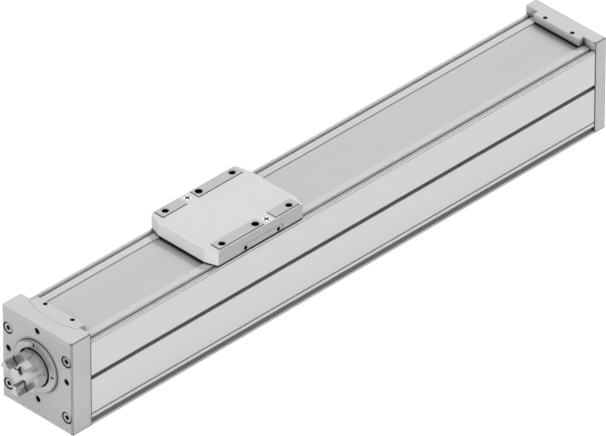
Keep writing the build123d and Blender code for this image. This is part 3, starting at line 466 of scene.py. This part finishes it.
def painted_edge_shade(nodes, links, shading):
    """Painted shade: a factor that falls along the outer edges of the near long side, drawing dark edge
    lines.
    """
    on_edge = 0.955
    off_edge = 0.995
    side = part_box("profile")[0][1]
    line_end = side + 0.0015
    clear_of_side = side + 0.0025
    geometry = nodes.new("ShaderNodeNewGeometry")
    turned = nodes.new("ShaderNodeVectorMath")
    turned.operation = "DOT_PRODUCT"
    links.new(rounded_normal(nodes, shading["width"]), turned.inputs[0])
    links.new(geometry.outputs["True Normal"], turned.inputs[1])
    edge = spread(nodes, links, turned.outputs["Value"], 1.0, 0.0, on_edge, off_edge)
    across = position_along(nodes, links, "Y")
    near_side = spread(nodes, links, across, 1.0, 0.0, line_end, clear_of_side)
    line = product(nodes, links, edge, near_side)
    return spread(nodes, links, line, 1.0, shading["line"], 0.0, 1.0)


def painted_foot_shade(nodes, links, level):
    """Painted shade: a factor that falls just above a level, a dark band for the shade in the gap under a
    piece.
    """
    darkest = 0.02
    band_top = level + 0.0006
    clear_of_band = level + 0.0012
    height = position_along(nodes, links, "Z")
    return spread(nodes, links, height, darkest, 1.0, band_top, clear_of_band)


def scaled(base, factor):
    """A colour made darker or lighter by a factor, up to white."""
    return [min(channel * factor, 1.0) for channel in base]


def colour_ramp(nodes, links, value, stops):
    """The colour that value picks between two or more stops, each a position and a colour."""
    ramp = nodes.new("ShaderNodeValToRGB")
    elements = ramp.color_ramp.elements
    for element, (position, stop_colour) in zip(elements, (stops[0], stops[-1])):
        element.position = position
        element.color = (*stop_colour, 1.0)
    for position, stop_colour in stops[1:-1]:
        elements.new(position).color = (*stop_colour, 1.0)
    links.new(value, ramp.inputs["Fac"])
    return ramp.outputs["Color"]


def tinted(nodes, links, base, low, high, value, shade):
    """The base colour, varied from low to high by value and scaled by the painted light and shade."""
    stops = ((0.25, scaled(base, low)), (0.75, scaled(base, high)))
    toned = nodes.new("ShaderNodeVectorMath")
    toned.operation = "SCALE"
    links.new(colour_ramp(nodes, links, value, stops), toned.inputs[0])
    links.new(shade, toned.inputs["Scale"])
    return toned.outputs["Vector"]


def relief(nodes, links, height, strength, distance, rounded=None):
    """A normal bent by height, on top of the rounded one where there is one."""
    bump = nodes.new("ShaderNodeBump")
    bump.inputs["Strength"].default_value = strength
    bump.inputs["Distance"].default_value = distance
    links.new(height, bump.inputs["Height"])
    if rounded is not None:
        links.new(rounded, bump.inputs["Normal"])
    return bump.outputs["Normal"]


# Finishes


def grained_finish(name, base, stretch, shading, metallic, roughness, grain, variation, bump=0.12):
    """A surface with fine grain: matte anodised, milled or moulded, by its grain and stretch."""
    specular = 0.5
    fine_to_broad = 24
    roughness_swing = 0.05
    material, nodes, links, shader = start_material("finish_" + name)
    even_shader(shader, metallic, specular)
    fine = noise(nodes, links, object_vector(nodes, links, stretch), grain)
    broad = noise(nodes, links, object_vector(nodes, links, stretch), grain / fine_to_broad)
    # Painted shade in hollows and seams, painted light and shade by facing, painted edge lines and a
    # painted dark band at the foot all scale the base colour.
    hollow = painted_hollow_shade(nodes, links, shading)
    painted_facing_factors = painted_facing_light_and_shade(nodes, links, shading["side"], shading["end"])
    shade = product(nodes, links, hollow, painted_facing_factors)
    if shading["line"] < 1.0:
        shade = product(nodes, links, shade, painted_edge_shade(nodes, links, shading))
    if shading["foot"]:
        shade = product(nodes, links, shade, painted_foot_shade(nodes, links, shading["foot"]))
    tint = tinted(nodes, links, base, 1.0 - variation, 1.0 + variation, broad, shade)
    links.new(tint, shader.inputs["Base Color"])
    varied_roughness = spread(nodes, links, fine, roughness - roughness_swing, roughness + roughness_swing)
    links.new(varied_roughness, shader.inputs["Roughness"])
    rounded = rounded_normal(nodes, shading["edge"])
    links.new(relief(nodes, links, fine, bump, GRAIN_HEIGHT, rounded), shader.inputs["Normal"])
    return material


def turned_finish(name, base, shading, metallic, roughness, bump):
    """A turned or ground surface, with fine rings about the shaft's axis."""
    specular = 0.5
    ring_grain = 5200.0
    broad_grain = 420.0
    ring_detail = 2.0
    darker = 0.93
    lighter = 1.06
    roughness_swing = 0.06
    material, nodes, links, shader = start_material("finish_" + name)
    even_shader(shader, metallic, specular)
    rings = noise(nodes, links, ring_vector(nodes, links), ring_grain, ring_detail)
    broad = noise(nodes, links, ring_vector(nodes, links), broad_grain, ring_detail)
    # Painted shade in hollows and seams scales the base colour.
    shade = painted_hollow_shade(nodes, links, shading)
    links.new(tinted(nodes, links, base, darker, lighter, broad, shade), shader.inputs["Base Color"])
    varied_roughness = spread(nodes, links, rings, roughness - roughness_swing, roughness + roughness_swing)
    links.new(varied_roughness, shader.inputs["Roughness"])
    links.new(relief(nodes, links, rings, bump, GRAIN_HEIGHT), shader.inputs["Normal"])
    return material


def rubber_finish(name, base):
    """Matte rubber, or a like dark bonded material, with a faint mottle."""
    specular = 0.35
    mottle_grain = 900.0
    mottle_detail = 4.0
    darker = 0.7
    lighter = 1.5
    smoothest = 0.72
    roughest = 0.88
    bump = 0.25
    material, nodes, links, shader = start_material("finish_" + name)
    even_shader(shader, 0.0, specular)
    mottle = noise(nodes, links, object_vector(nodes, links, EVEN), mottle_grain, mottle_detail)
    stops = ((0.0, scaled(base, darker)), (1.0, scaled(base, lighter)))
    links.new(colour_ramp(nodes, links, mottle, stops), shader.inputs["Base Color"])
    links.new(spread(nodes, links, mottle, smoothest, roughest), shader.inputs["Roughness"])
    links.new(relief(nodes, links, mottle, bump, MOTTLE_HEIGHT), shader.inputs["Normal"])
    return material


def node_material(slot_name):
    """The finish made for one of the record's material slots."""
    return bpy.data.materials["finish_" + slot_name]


def dress(slot_name, *names):
    """Gives the named CAD nodes the finish of a slot."""
    for name in names:
        for material_slot in frame["nodes"][name].material_slots:
            material_slot.material = node_material(slot_name)


def nodes_with(slot_name):
    """The CAD nodes that the record gives a slot."""
    return [part["node"] for part in frame["record"]["subparts"] if part["material_slot"] == slot_name]


def dress_slots(*slot_names):
    """Gives every CAD node of the slots its finish."""
    for slot_name in slot_names:
        dress(slot_name, *nodes_with(slot_name))


def finish_piece(mesh_builder, name, slot_name):
    """Turns a bmesh into a linked object with a slot's finish."""
    mesh = bpy.data.meshes.new(name)
    mesh_builder.to_mesh(mesh)
    mesh_builder.free()
    piece = bpy.data.objects.new(name, mesh)
    bpy.context.scene.collection.objects.link(piece)
    mesh.materials.append(node_material(slot_name))
    return piece


class LINEARAXIS_OT_finishes(bpy.types.Operator):
    """Make one finish for each material slot of the record"""

    bl_idname = "linearaxis.finishes"
    bl_label = "Finishes"

    def execute(self, context):
        paint = context.scene.linear_axis_colours
        sizes = context.scene.linear_axis_sizes
        along = (0.04, 1.0, 1.0)
        across = (1.0, 0.05, 1.0)
        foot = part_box("carriage_cover")[0][2]
        far = 2 * sizes.hollow

        # The depths and the line are painted shade factors at their darkest. Side and end scale the base
        # colour as painted light and shade on the long sides and ends. A span is how open a place is where
        # the painted shade is darkest and where it is clear. The rest are metres.
        plain = {
            "reach": sizes.hollow,
            "depth": 0.10,
            "span": (0.12, 0.62),
            "seam": sizes.seam,
            "seam_depth": 0.05,
            "seam_span": (0.45, 0.85),
            "side": 1.0,
            "end": 1.0,
            "line": 1.0,
            "width": sizes.painted_edge_line,
            "edge": sizes.edge_break,
            "foot": None,
        }
        extruded = dict(plain, depth=0.42, seam_depth=0.45, side=1.53, line=0.12)
        machined = dict(plain, reach=far, depth=0.02, span=(0.30, 0.88), side=1.21, end=1.10, line=0.05)
        rolled = dict(plain, reach=far, depth=0.01, span=(0.25, 0.90), seam=2 * sizes.seam, side=0.40)
        milled = dict(
            plain,
            reach=far,
            depth=0.005,
            span=(0.45, 0.92),
            seam_depth=0.02,
            side=1.20,
            line=0.04,
            width=0.6 * sizes.painted_edge_line,
            foot=foot,
        )
        moulded = dict(plain, depth=0.08, side=0.90, end=1.42, foot=foot)
        small = dict(
            plain,
            reach=2 * sizes.seam,
            depth=0.005,
            span=(0.45, 0.95),
            seam=sizes.seam / 3,
            edge=sizes.edge_break / 3,
        )
        shaft = dict(plain, depth=0.03, seam_depth=0.10)

        grained_finish(
            ANODISED, paint.profile, along, extruded,
            metallic=0.15, roughness=0.46, grain=1500.0, variation=0.02,
        )
        grained_finish(
            CAP_METAL, paint.caps, across, machined,
            metallic=0.15, roughness=0.44, grain=1800.0, variation=0.03,
        )
        grained_finish(
            INNER_METAL, paint.caps, along, machined,
            metallic=0.5, roughness=0.42, grain=1500.0, variation=0.04,
        )
        grained_finish(
            STRIP_STEEL, paint.strip, along, rolled,
            metallic=0.45, roughness=0.42, grain=1700.0, variation=0.03, bump=0.2,
        )
        grained_finish(
            CARRIAGE_METAL, paint.faces, across, milled,
            metallic=0.3, roughness=0.4, grain=1800.0, variation=0.02,
        )
        grained_finish(
            COVER_PLASTIC, paint.cover, EVEN, moulded,
            metallic=0.0, roughness=0.42, grain=2400.0, variation=0.015, bump=0.08,
        )
        grained_finish(
            PLATED, paint.plated, EVEN, small,
            metallic=0.6, roughness=0.36, grain=2600.0, variation=0.06, bump=0.2,
        )
        grained_finish(
            BLACK_OXIDE, paint.oxide, EVEN, small,
            metallic=0.4, roughness=0.42, grain=2600.0, variation=0.1, bump=0.2,
        )
        grained_finish(
            BRIGHT, paint.bright, EVEN, small,
            metallic=0.0, roughness=0.26, grain=2600.0, variation=0.03, bump=0.08,
        )
        grained_finish(
            RUNNER_PLASTIC, paint.plastic, EVEN, small,
            metallic=0.0, roughness=0.55, grain=2400.0, variation=0.1, bump=0.2,
        )
        grained_finish(
            GUIDE_PLASTIC, paint.plastic, EVEN, small,
            metallic=0.0, roughness=0.5, grain=2400.0, variation=0.1, bump=0.2,
        )
        turned_finish(TURNED, paint.ring, shaft, metallic=0.6, roughness=0.30, bump=0.3)
        turned_finish(HUB_METAL, paint.hub, shaft, metallic=0.88, roughness=0.24, bump=0.25)
        turned_finish(GROUND_STEEL, paint.steel, shaft, metallic=0.85, roughness=0.28, bump=0.2)
        rubber_finish(RUBBER, paint.rubber)
        rubber_finish(MAGNET, paint.magnet)
        return {"FINISHED"}


class LINEARAXIS_OT_housing(bpy.types.Operator):
    """Finish the profile, both end caps, the drive end's strip clamp and the magnet strips"""

    bl_idname = "linearaxis.housing"
    bl_label = "Profile and caps"

    def execute(self, context):
        dress_slots(ANODISED, CAP_METAL, MAGNET)
        return {"FINISHED"}


class LINEARAXIS_OT_cover_strip(bpy.types.Operator):
    """Build the flat stretches of the cover strip in the places of their CAD nodes"""

    bl_idname = "linearaxis.cover_strip"
    bl_label = "Cover strip"

    def stretch(self, node, fixed_side, sizes):
        """One flat stretch in the place of its CAD node; the fixed side only orders its two ends, which are
        not used.
        """
        low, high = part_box(node)
        built = bmesh.new()
        edge = sizes.strip_edge
        half_width = (high[1] - low[1]) / 2
        profile = [
            (-half_width, low[2] + edge),
            (-half_width + edge, low[2]),
            (half_width - edge, low[2]),
            (half_width, low[2] + edge),
            (half_width, high[2] - edge),
            (half_width - edge, high[2]),
            (-half_width + edge, high[2]),
            (-half_width, high[2] - edge),
        ]
        rings = []
        for section in range(sizes.strip_sections + 1):
            x = low[0] + (high[0] - low[0]) * section / sizes.strip_sections
            rings.append([built.verts.new((x, y, z)) for y, z in profile])
        for left, right in zip(rings, rings[1:]):
            for corner in range(len(profile)):
                after = (corner + 1) % len(profile)
                built.faces.new((left[corner], left[after], right[after], right[corner]))
        built.faces.new(rings[0])
        built.faces.new(reversed(rings[-1]))
        bmesh.ops.recalc_face_normals(built, faces=built.faces)
        piece = finish_piece(built, "flat_" + node, STRIP_STEEL)
        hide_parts(node)
        ends = [Vector((low[0], 0.0, high[2])), Vector((high[0], 0.0, high[2]))]
        if fixed_side > 0:
            ends.reverse()
        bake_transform(piece)

    def execute(self, context):
        sizes = context.scene.linear_axis_sizes
        self.stretch("strip_drive_side", -1, sizes)
        self.stretch("strip_idle_side", 1, sizes)
        dress(STRIP_STEEL, "strip_in_carriage")
        return {"FINISHED"}


class LINEARAXIS_OT_ball_screw(bpy.types.Operator):
    """Build the screw with its helical ball track between the two journals"""

    bl_idname = "linearaxis.ball_screw"
    bl_label = "Ball screw"

    def execute(self, context):
        sizes = context.scene.linear_axis_sizes
        low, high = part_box("ball_screw")
        screw_radius = (high[2] - low[2]) / 2
        nut_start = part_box("bearing_lock_nut")[0][0]
        track_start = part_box("fixed_bearing_inner_rings")[1][0]
        track_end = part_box("floating_bearing_inner_ring")[0][0]
        journal_share = 5 / 6
        end_share = 2 / 3
        journal_radius = screw_radius * journal_share
        end_radius = screw_radius * end_share
        around = 32
        per_turn = 24
        merge_distance = 0.000001
        sharp_angle = math.radians(50)
        sections = [(low[0], 0.0), (low[0], end_radius), (nut_start, end_radius)]
        sections += [(nut_start, journal_radius), (track_start, journal_radius)]
        steps = round((track_end - track_start) / sizes.screw_lead * per_turn)
        for step in range(steps + 1):
            sections.append((track_start + (track_end - track_start) * step / steps, screw_radius))
        sections += [(track_end, end_radius), (high[0], end_radius), (high[0], 0.0)]
        built = bmesh.new()
        rings = []
        for x, radius in sections:
            ring = []
            for turn in range(around):
                angle = math.tau * turn / around
                phase = ((x - track_start) / sizes.screw_lead + turn / around) % 1.0
                from_track = abs(phase - 0.5) / sizes.track_share
                depth = 0.0
                if radius == screw_radius and from_track < 0.5 and track_start < x < track_end:
                    depth = sizes.track_depth * math.cos(math.pi * from_track)
                across = -(radius - depth) * math.sin(angle)
                height = SHAFT_HEIGHT + (radius - depth) * math.cos(angle)
                ring.append(built.verts.new((x, across, height)))
            rings.append(ring)
        for left, right in zip(rings, rings[1:]):
            for turn in range(around):
                after = (turn + 1) % around
                built.faces.new((left[turn], left[after], right[after], right[turn]))
        bmesh.ops.remove_doubles(built, verts=built.verts, dist=merge_distance)
        bmesh.ops.recalc_face_normals(built, faces=built.faces)
        for face in built.faces:
            face.smooth = True
        piece = finish_piece(built, "screw_with_track", GROUND_STEEL)
        piece.data.set_sharp_from_angle(angle=sharp_angle)
        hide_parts("ball_screw")
        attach(piece, SPINDLE)
        return {"FINISHED"}


class LINEARAXIS_OT_coupling(bpy.types.Operator):
    """Build the clamping hub with its slit, screw pocket and three claws, and finish the ring round it"""

    bl_idname = "linearaxis.coupling"
    bl_label = "Coupling and ring"

    def prism(self, outline, start, end):
        """A closed prism along the axis over an outline of distances across and heights."""
        built = bmesh.new()
        front = [built.verts.new((start, across, SHAFT_HEIGHT + height)) for across, height in outline]
        back = [built.verts.new((end, across, SHAFT_HEIGHT + height)) for across, height in outline]
        for place in range(len(outline)):
            after = (place + 1) % len(outline)
            built.faces.new((front[place], front[after], back[after], back[place]))
        built.faces.new(front)
        built.faces.new(back)
        bmesh.ops.recalc_face_normals(built, faces=built.faces)
        return built

    def round_axis(self, reach, angle):
        """The point that far from the shaft's axis, at an angle measured from +Y upwards."""
        return (reach * math.cos(angle), reach * math.sin(angle))

    def arc(self, radius, start, end, steps):
        """Points round the shaft's axis from one angle to another."""
        return [self.round_axis(radius, start + (end - start) * step / steps) for step in range(steps + 1)]

    def claw_outline(self, radius, sizes, middle):
        """A claw seen from the front: the rim, and two hollow flanks that meet its narrow root."""
        rim_steps = 12
        flank_steps = 8
        waist = 0.35
        taper = 0.2
        rim = self.arc(radius, middle - sizes.claw_half_angle, middle + sizes.claw_half_angle, rim_steps)
        flank = []
        for step in range(1, flank_steps + 1):
            share = step / flank_steps
            narrowed = sizes.claw_half_angle * (1.0 - waist * math.sin(math.pi * share) - taper * share)
            flank.append((radius + (sizes.claw_root - radius) * share, narrowed))
        left = [self.round_axis(reach, middle + turn) for reach, turn in flank]
        right = [self.round_axis(reach, middle - turn) for reach, turn in flank]
        return rim + left + right[::-1]

    def cut(self, piece, cutter_builder):
        """Takes a cutter's volume out of a piece."""
        mesh = bpy.data.meshes.new("cutter")
        cutter_builder.to_mesh(mesh)
        cutter_builder.free()
        cutter = bpy.data.objects.new("cutter", mesh)
        bpy.context.scene.collection.objects.link(cutter)
        trim = piece.modifiers.new("trim", "BOOLEAN")
        trim.operation = "DIFFERENCE"
        trim.solver = "EXACT"
        trim.object = cutter
        trimmed = piece.evaluated_get(bpy.context.evaluated_depsgraph_get())
        cut_mesh = bpy.data.meshes.new_from_object(trimmed)
        piece.modifiers.remove(trim)
        piece.data = cut_mesh
        bpy.data.objects.remove(cutter)

    def pocket(self, floor_height, screw):
        """The round pocket over the clamp screw's head, from its seat upwards."""
        low, high = screw
        clearance = 0.00005
        depth = 0.02
        radius = (high[0] - low[0]) / 2 + clearance
        middle = Vector(((low[0] + high[0]) / 2, (low[1] + high[1]) / 2, floor_height + depth / 2))
        built = bmesh.new()
        bmesh.ops.create_cone(
            built,
            cap_ends=True,
            segments=48,
            radius1=radius,
            radius2=radius,
            depth=depth,
            matrix=Matrix.Translation(middle),
        )
        return built

    def execute(self, context):
        sizes = context.scene.linear_axis_sizes
        rim_steps = 120
        bore_steps = 60
        claws = 3
        first_claw = 30
        claw_overlap = 0.0002
        seat_share = 1.1
        sharp_angle = math.radians(30)
        low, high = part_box("coupling_hub")
        radius = (high[2] - low[2]) / 2
        front = low[0] + sizes.claw_length
        half_slit = sizes.hub_slit / 2
        outer_slit = math.asin(half_slit / radius)
        inner_slit = math.asin(half_slit / sizes.hub_bore)
        body = self.arc(radius, outer_slit, math.tau - outer_slit, rim_steps)
        body += self.arc(sizes.hub_bore, math.tau - inner_slit, inner_slit, bore_steps)
        hub = finish_piece(self.prism(body, front, high[0]), "claw_hub", HUB_METAL)
        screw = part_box("hub_clamp_screw")
        head_radius = (screw[1][0] - screw[0][0]) / 2
        self.cut(hub, self.pocket(screw[1][2] - head_radius * seat_share, screw))
        built = bmesh.new()
        built.from_mesh(hub.data)
        for turn in range(claws):
            middle = math.radians(first_claw + 360 / claws * turn)
            claw = self.prism(self.claw_outline(radius, sizes, middle), low[0], front + claw_overlap)
            claw_mesh = bpy.data.meshes.new("claw")
            claw.to_mesh(claw_mesh)
            claw.free()
            built.from_mesh(claw_mesh)
            bpy.data.meshes.remove(claw_mesh)
        for face in built.faces:
            face.smooth = True
        built.to_mesh(hub.data)
        built.free()
        hub.data.set_sharp_from_angle(angle=sharp_angle)
        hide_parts("coupling_hub")
        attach(hub, SPINDLE)
        dress_slots(TURNED)
        return {"FINISHED"}


class LINEARAXIS_OT_carriage(bpy.types.Operator):
    """Finish the carriage, its cover, guides and wipers and the buffers, and lay painted shade bars in the
    cover screws' crosses
    """

    bl_idname = "linearaxis.carriage"
    bl_label = "Carriage"

    def cross_shade_bars(self, sizes):
        """Painted shade: thin dark bars in the cross recesses in the heads of both cover screws."""
        low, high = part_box("cover_screws")
        radius = COVER_HEAD_DIAMETER / 2
        thickness = 0.0002
        arms = ((sizes.cross_length, sizes.cross_width), (sizes.cross_width, sizes.cross_length))
        built = bmesh.new()
        for x, y in ((low[0] + radius, high[1] - radius), (high[0] - radius, low[1] + radius)):
            head = Matrix.Translation((x, y, high[2]))
            for length, width in arms:
                size = Vector((length, width, thickness)).to_4d()
                bmesh.ops.create_cube(built, size=1.0, matrix=head @ Matrix.Diagonal(size))
        return built

    def execute(self, context):
        sizes = context.scene.linear_axis_sizes
        cross_shade_bars = finish_piece(self.cross_shade_bars(sizes), "cover_cross_shade_bars", BLACK_OXIDE)
        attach(cross_shade_bars, CARRIAGE)
        dress_slots(CARRIAGE_METAL, COVER_PLASTIC, GUIDE_PLASTIC, RUBBER)
        return {"FINISHED"}


class LINEARAXIS_OT_inner_parts(bpy.types.Operator):
    """Finish the rail, runners, nut, its carrier, the bearings and the idle end's strip clamp"""

    bl_idname = "linearaxis.inner_parts"
    bl_label = "Inner parts"

    def execute(self, context):
        dress_slots(GROUND_STEEL, INNER_METAL, RUNNER_PLASTIC)
        return {"FINISHED"}


class LINEARAXIS_OT_fasteners(bpy.types.Operator):
    """Finish the plated, the black and the bright screws, the lock nut and the circlip"""

    bl_idname = "linearaxis.fasteners"
    bl_label = "Fasteners"

    def execute(self, context):
        dress_slots(PLATED, BLACK_OXIDE, BRIGHT)
        return {"FINISHED"}


class LINEARAXIS_OT_stage(bpy.types.Operator):
    """Lay the pale floor, hang the soft lamps and set the camera"""

    bl_idname = "linearaxis.stage"
    bl_label = "Stage"

    def floor(self, context, stage):
        """A broad pale floor that glows for the camera and neither shades the axis nor shows in it."""
        half_width = 6.0
        drop = 0.0002
        cloud_scale = 3.0
        darker = 0.995
        roughness = 0.95
        specular = 0.1
        built = bmesh.new()
        bmesh.ops.create_grid(built, x_segments=2, y_segments=2, size=half_width)
        mesh = bpy.data.meshes.new("floor")
        built.to_mesh(mesh)
        built.free()
        ground = bpy.data.objects.new("floor", mesh)
        ground.location.z = -drop
        ground.visible_glossy = False
        ground.visible_shadow = False
        context.scene.collection.objects.link(ground)
        material, nodes, links, shader = start_material("pale_floor")
        even_shader(shader, 0.0, specular)
        shader.inputs["Roughness"].default_value = roughness
        shader.inputs["Emission Color"].default_value = WHITE
        base = context.scene.linear_axis_colours.floor
        clouds = noise(nodes, links, object_vector(nodes, links, EVEN), cloud_scale)
        stops = ((0.0, scaled(base, darker)), (1.0, base))
        links.new(colour_ramp(nodes, links, clouds, stops), shader.inputs["Base Color"])
        path = nodes.new("ShaderNodeLightPath")
        glow = spread(nodes, links, path.outputs["Is Camera Ray"], 0.0, stage.floor_glow, 0.0, 1.0)
        links.new(glow, shader.inputs["Emission Strength"])
        mesh.materials.append(material)

    def lamp(self, context, name, toward_lamp, strength, softness):
        """A far lamp that stands in the given direction."""
        light = bpy.data.lights.new(name, "SUN")
        light.energy = strength
        light.angle = softness
        lamp = bpy.data.objects.new(name, light)
        lamp.rotation_euler = (-Vector(toward_lamp)).to_track_quat("-Z", "Y").to_euler()
        lamp.visible_glossy = False
        context.scene.collection.objects.link(lamp)

    def sky(self, context, stage):
        """An even sky; what shines sees it with a light band between two dark ones."""
        band_direction = (-0.9, 0.0, 1.0)
        lowest_lean = -1.3
        highest_lean = 0.5
        bands = ((0.10, 0.14), (0.45, 0.75), (0.77, 1.00), (0.85, 0.12))
        stops = [(position, (grey, grey, grey)) for position, grey in bands]
        world = bpy.data.worlds.new("studio")
        world.use_nodes = True
        nodes = world.node_tree.nodes
        links = world.node_tree.links
        even = nodes["Background"]
        even.inputs["Color"].default_value = WHITE
        even.inputs["Strength"].default_value = stage.sky
        direction = nodes.new("ShaderNodeTexCoord")
        lean = nodes.new("ShaderNodeVectorMath")
        lean.operation = "DOT_PRODUCT"
        lean.inputs[1].default_value = band_direction
        links.new(direction.outputs["Generated"], lean.inputs[0])
        graded_lean = spread(nodes, links, lean.outputs["Value"], 0.0, 1.0, lowest_lean, highest_lean)
        graded = nodes.new("ShaderNodeBackground")
        links.new(colour_ramp(nodes, links, graded_lean, stops), graded.inputs["Color"])
        path = nodes.new("ShaderNodeLightPath")
        chosen = nodes.new("ShaderNodeMixShader")
        links.new(path.outputs["Is Glossy Ray"], chosen.inputs[0])
        links.new(even.outputs["Background"], chosen.inputs[1])
        links.new(graded.outputs["Background"], chosen.inputs[2])
        links.new(chosen.outputs["Shader"], nodes["World Output"].inputs["Surface"])
        context.scene.world = world

    def camera(self, context):
        """The camera at the photograph's angle."""
        stage = context.scene.linear_axis_stage
        target = Vector((0.0092, 0.0, 0.0336))
        image_width = 606
        target_right_of_centre = 4.96
        target_above_centre = 3.80
        data = bpy.data.cameras.new("photo_camera")
        data.lens = stage.lens
        data.sensor_width = 36.0
        data.clip_end = 100.0
        data.shift_x = -target_right_of_centre / image_width
        data.shift_y = -target_above_centre / image_width
        camera = bpy.data.objects.new("photo_camera", data)
        away = Vector(
            (
                math.sin(stage.azimuth) * math.cos(stage.elevation),
                -math.cos(stage.azimuth) * math.cos(stage.elevation),
                math.sin(stage.elevation),
            )
        )
        camera.location = target + stage.distance * away
        camera.rotation_euler = (-away).to_track_quat("-Z", "Y").to_euler()
        context.scene.collection.objects.link(camera)
        context.scene.camera = camera

    def execute(self, context):
        stage = context.scene.linear_axis_stage
        behind_and_above = (0.50, 0.22, 0.84)
        camera_side = (-0.6, -0.6, 0.53)
        fill_softness = math.radians(90)
        self.floor(context, stage)
        self.lamp(context, "key_lamp", behind_and_above, stage.key_light, stage.key_softness)
        self.lamp(context, "fill_lamp", camera_side, stage.fill_light, fill_softness)
        self.sky(context, stage)
        context.scene.view_settings.view_transform = "Standard"
        self.camera(context)
        return {"FINISHED"}


class LINEARAXIS_PT_panel(bpy.types.Panel):
    """Lists the operators and the settings"""

    bl_idname = "LINEARAXIS_PT_panel"
    bl_label = "Linear Axis"
    bl_space_type = "VIEW_3D"
    bl_region_type = "UI"
    bl_category = "Linear Axis"

    def draw(self, context):
        for operator in OPERATORS:
            self.layout.operator(operator.bl_idname)
        for group in GROUPS:
            settings = getattr(context.scene, group)
            box = self.layout.box()
            for name in settings.bl_rna.properties.keys():
                if name not in {"rna_type", "name"}:
                    box.prop(settings, name)


OPERATORS = (
    LINEARAXIS_OT_finishes,
    LINEARAXIS_OT_housing,
    LINEARAXIS_OT_cover_strip,
    LINEARAXIS_OT_ball_screw,
    LINEARAXIS_OT_coupling,
    LINEARAXIS_OT_carriage,
    LINEARAXIS_OT_inner_parts,
    LINEARAXIS_OT_fasteners,
    LINEARAXIS_OT_stage,
)
GROUPS = {
    "linear_axis_sizes": LinearAxisSizes,
    "linear_axis_colours": LinearAxisColours,
    "linear_axis_stage": LinearAxisStage,
}


def register():
    for group in GROUPS.values():
        bpy.utils.register_class(group)
    for name, group in GROUPS.items():
        setattr(bpy.types.Scene, name, PointerProperty(type=group))
    for operator in OPERATORS:
        bpy.utils.register_class(operator)
    bpy.utils.register_class(LINEARAXIS_PT_panel)


def unregister():
    bpy.utils.unregister_class(LINEARAXIS_PT_panel)
    for operator in reversed(OPERATORS):
        bpy.utils.unregister_class(operator)
    for name in GROUPS:
        delattr(bpy.types.Scene, name)
    for group in reversed(GROUPS.values()):
        bpy.utils.unregister_class(group)


def main():
    """Registers the add-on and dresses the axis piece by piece."""
    register()
    bpy.ops.linearaxis.finishes()
    bpy.ops.linearaxis.housing()
    bpy.ops.linearaxis.cover_strip()
    bpy.ops.linearaxis.ball_screw()
    bpy.ops.linearaxis.coupling()
    bpy.ops.linearaxis.carriage()
    bpy.ops.linearaxis.inner_parts()
    bpy.ops.linearaxis.fasteners()
    bpy.ops.linearaxis.stage()


if __name__ == "__main__":
    main()
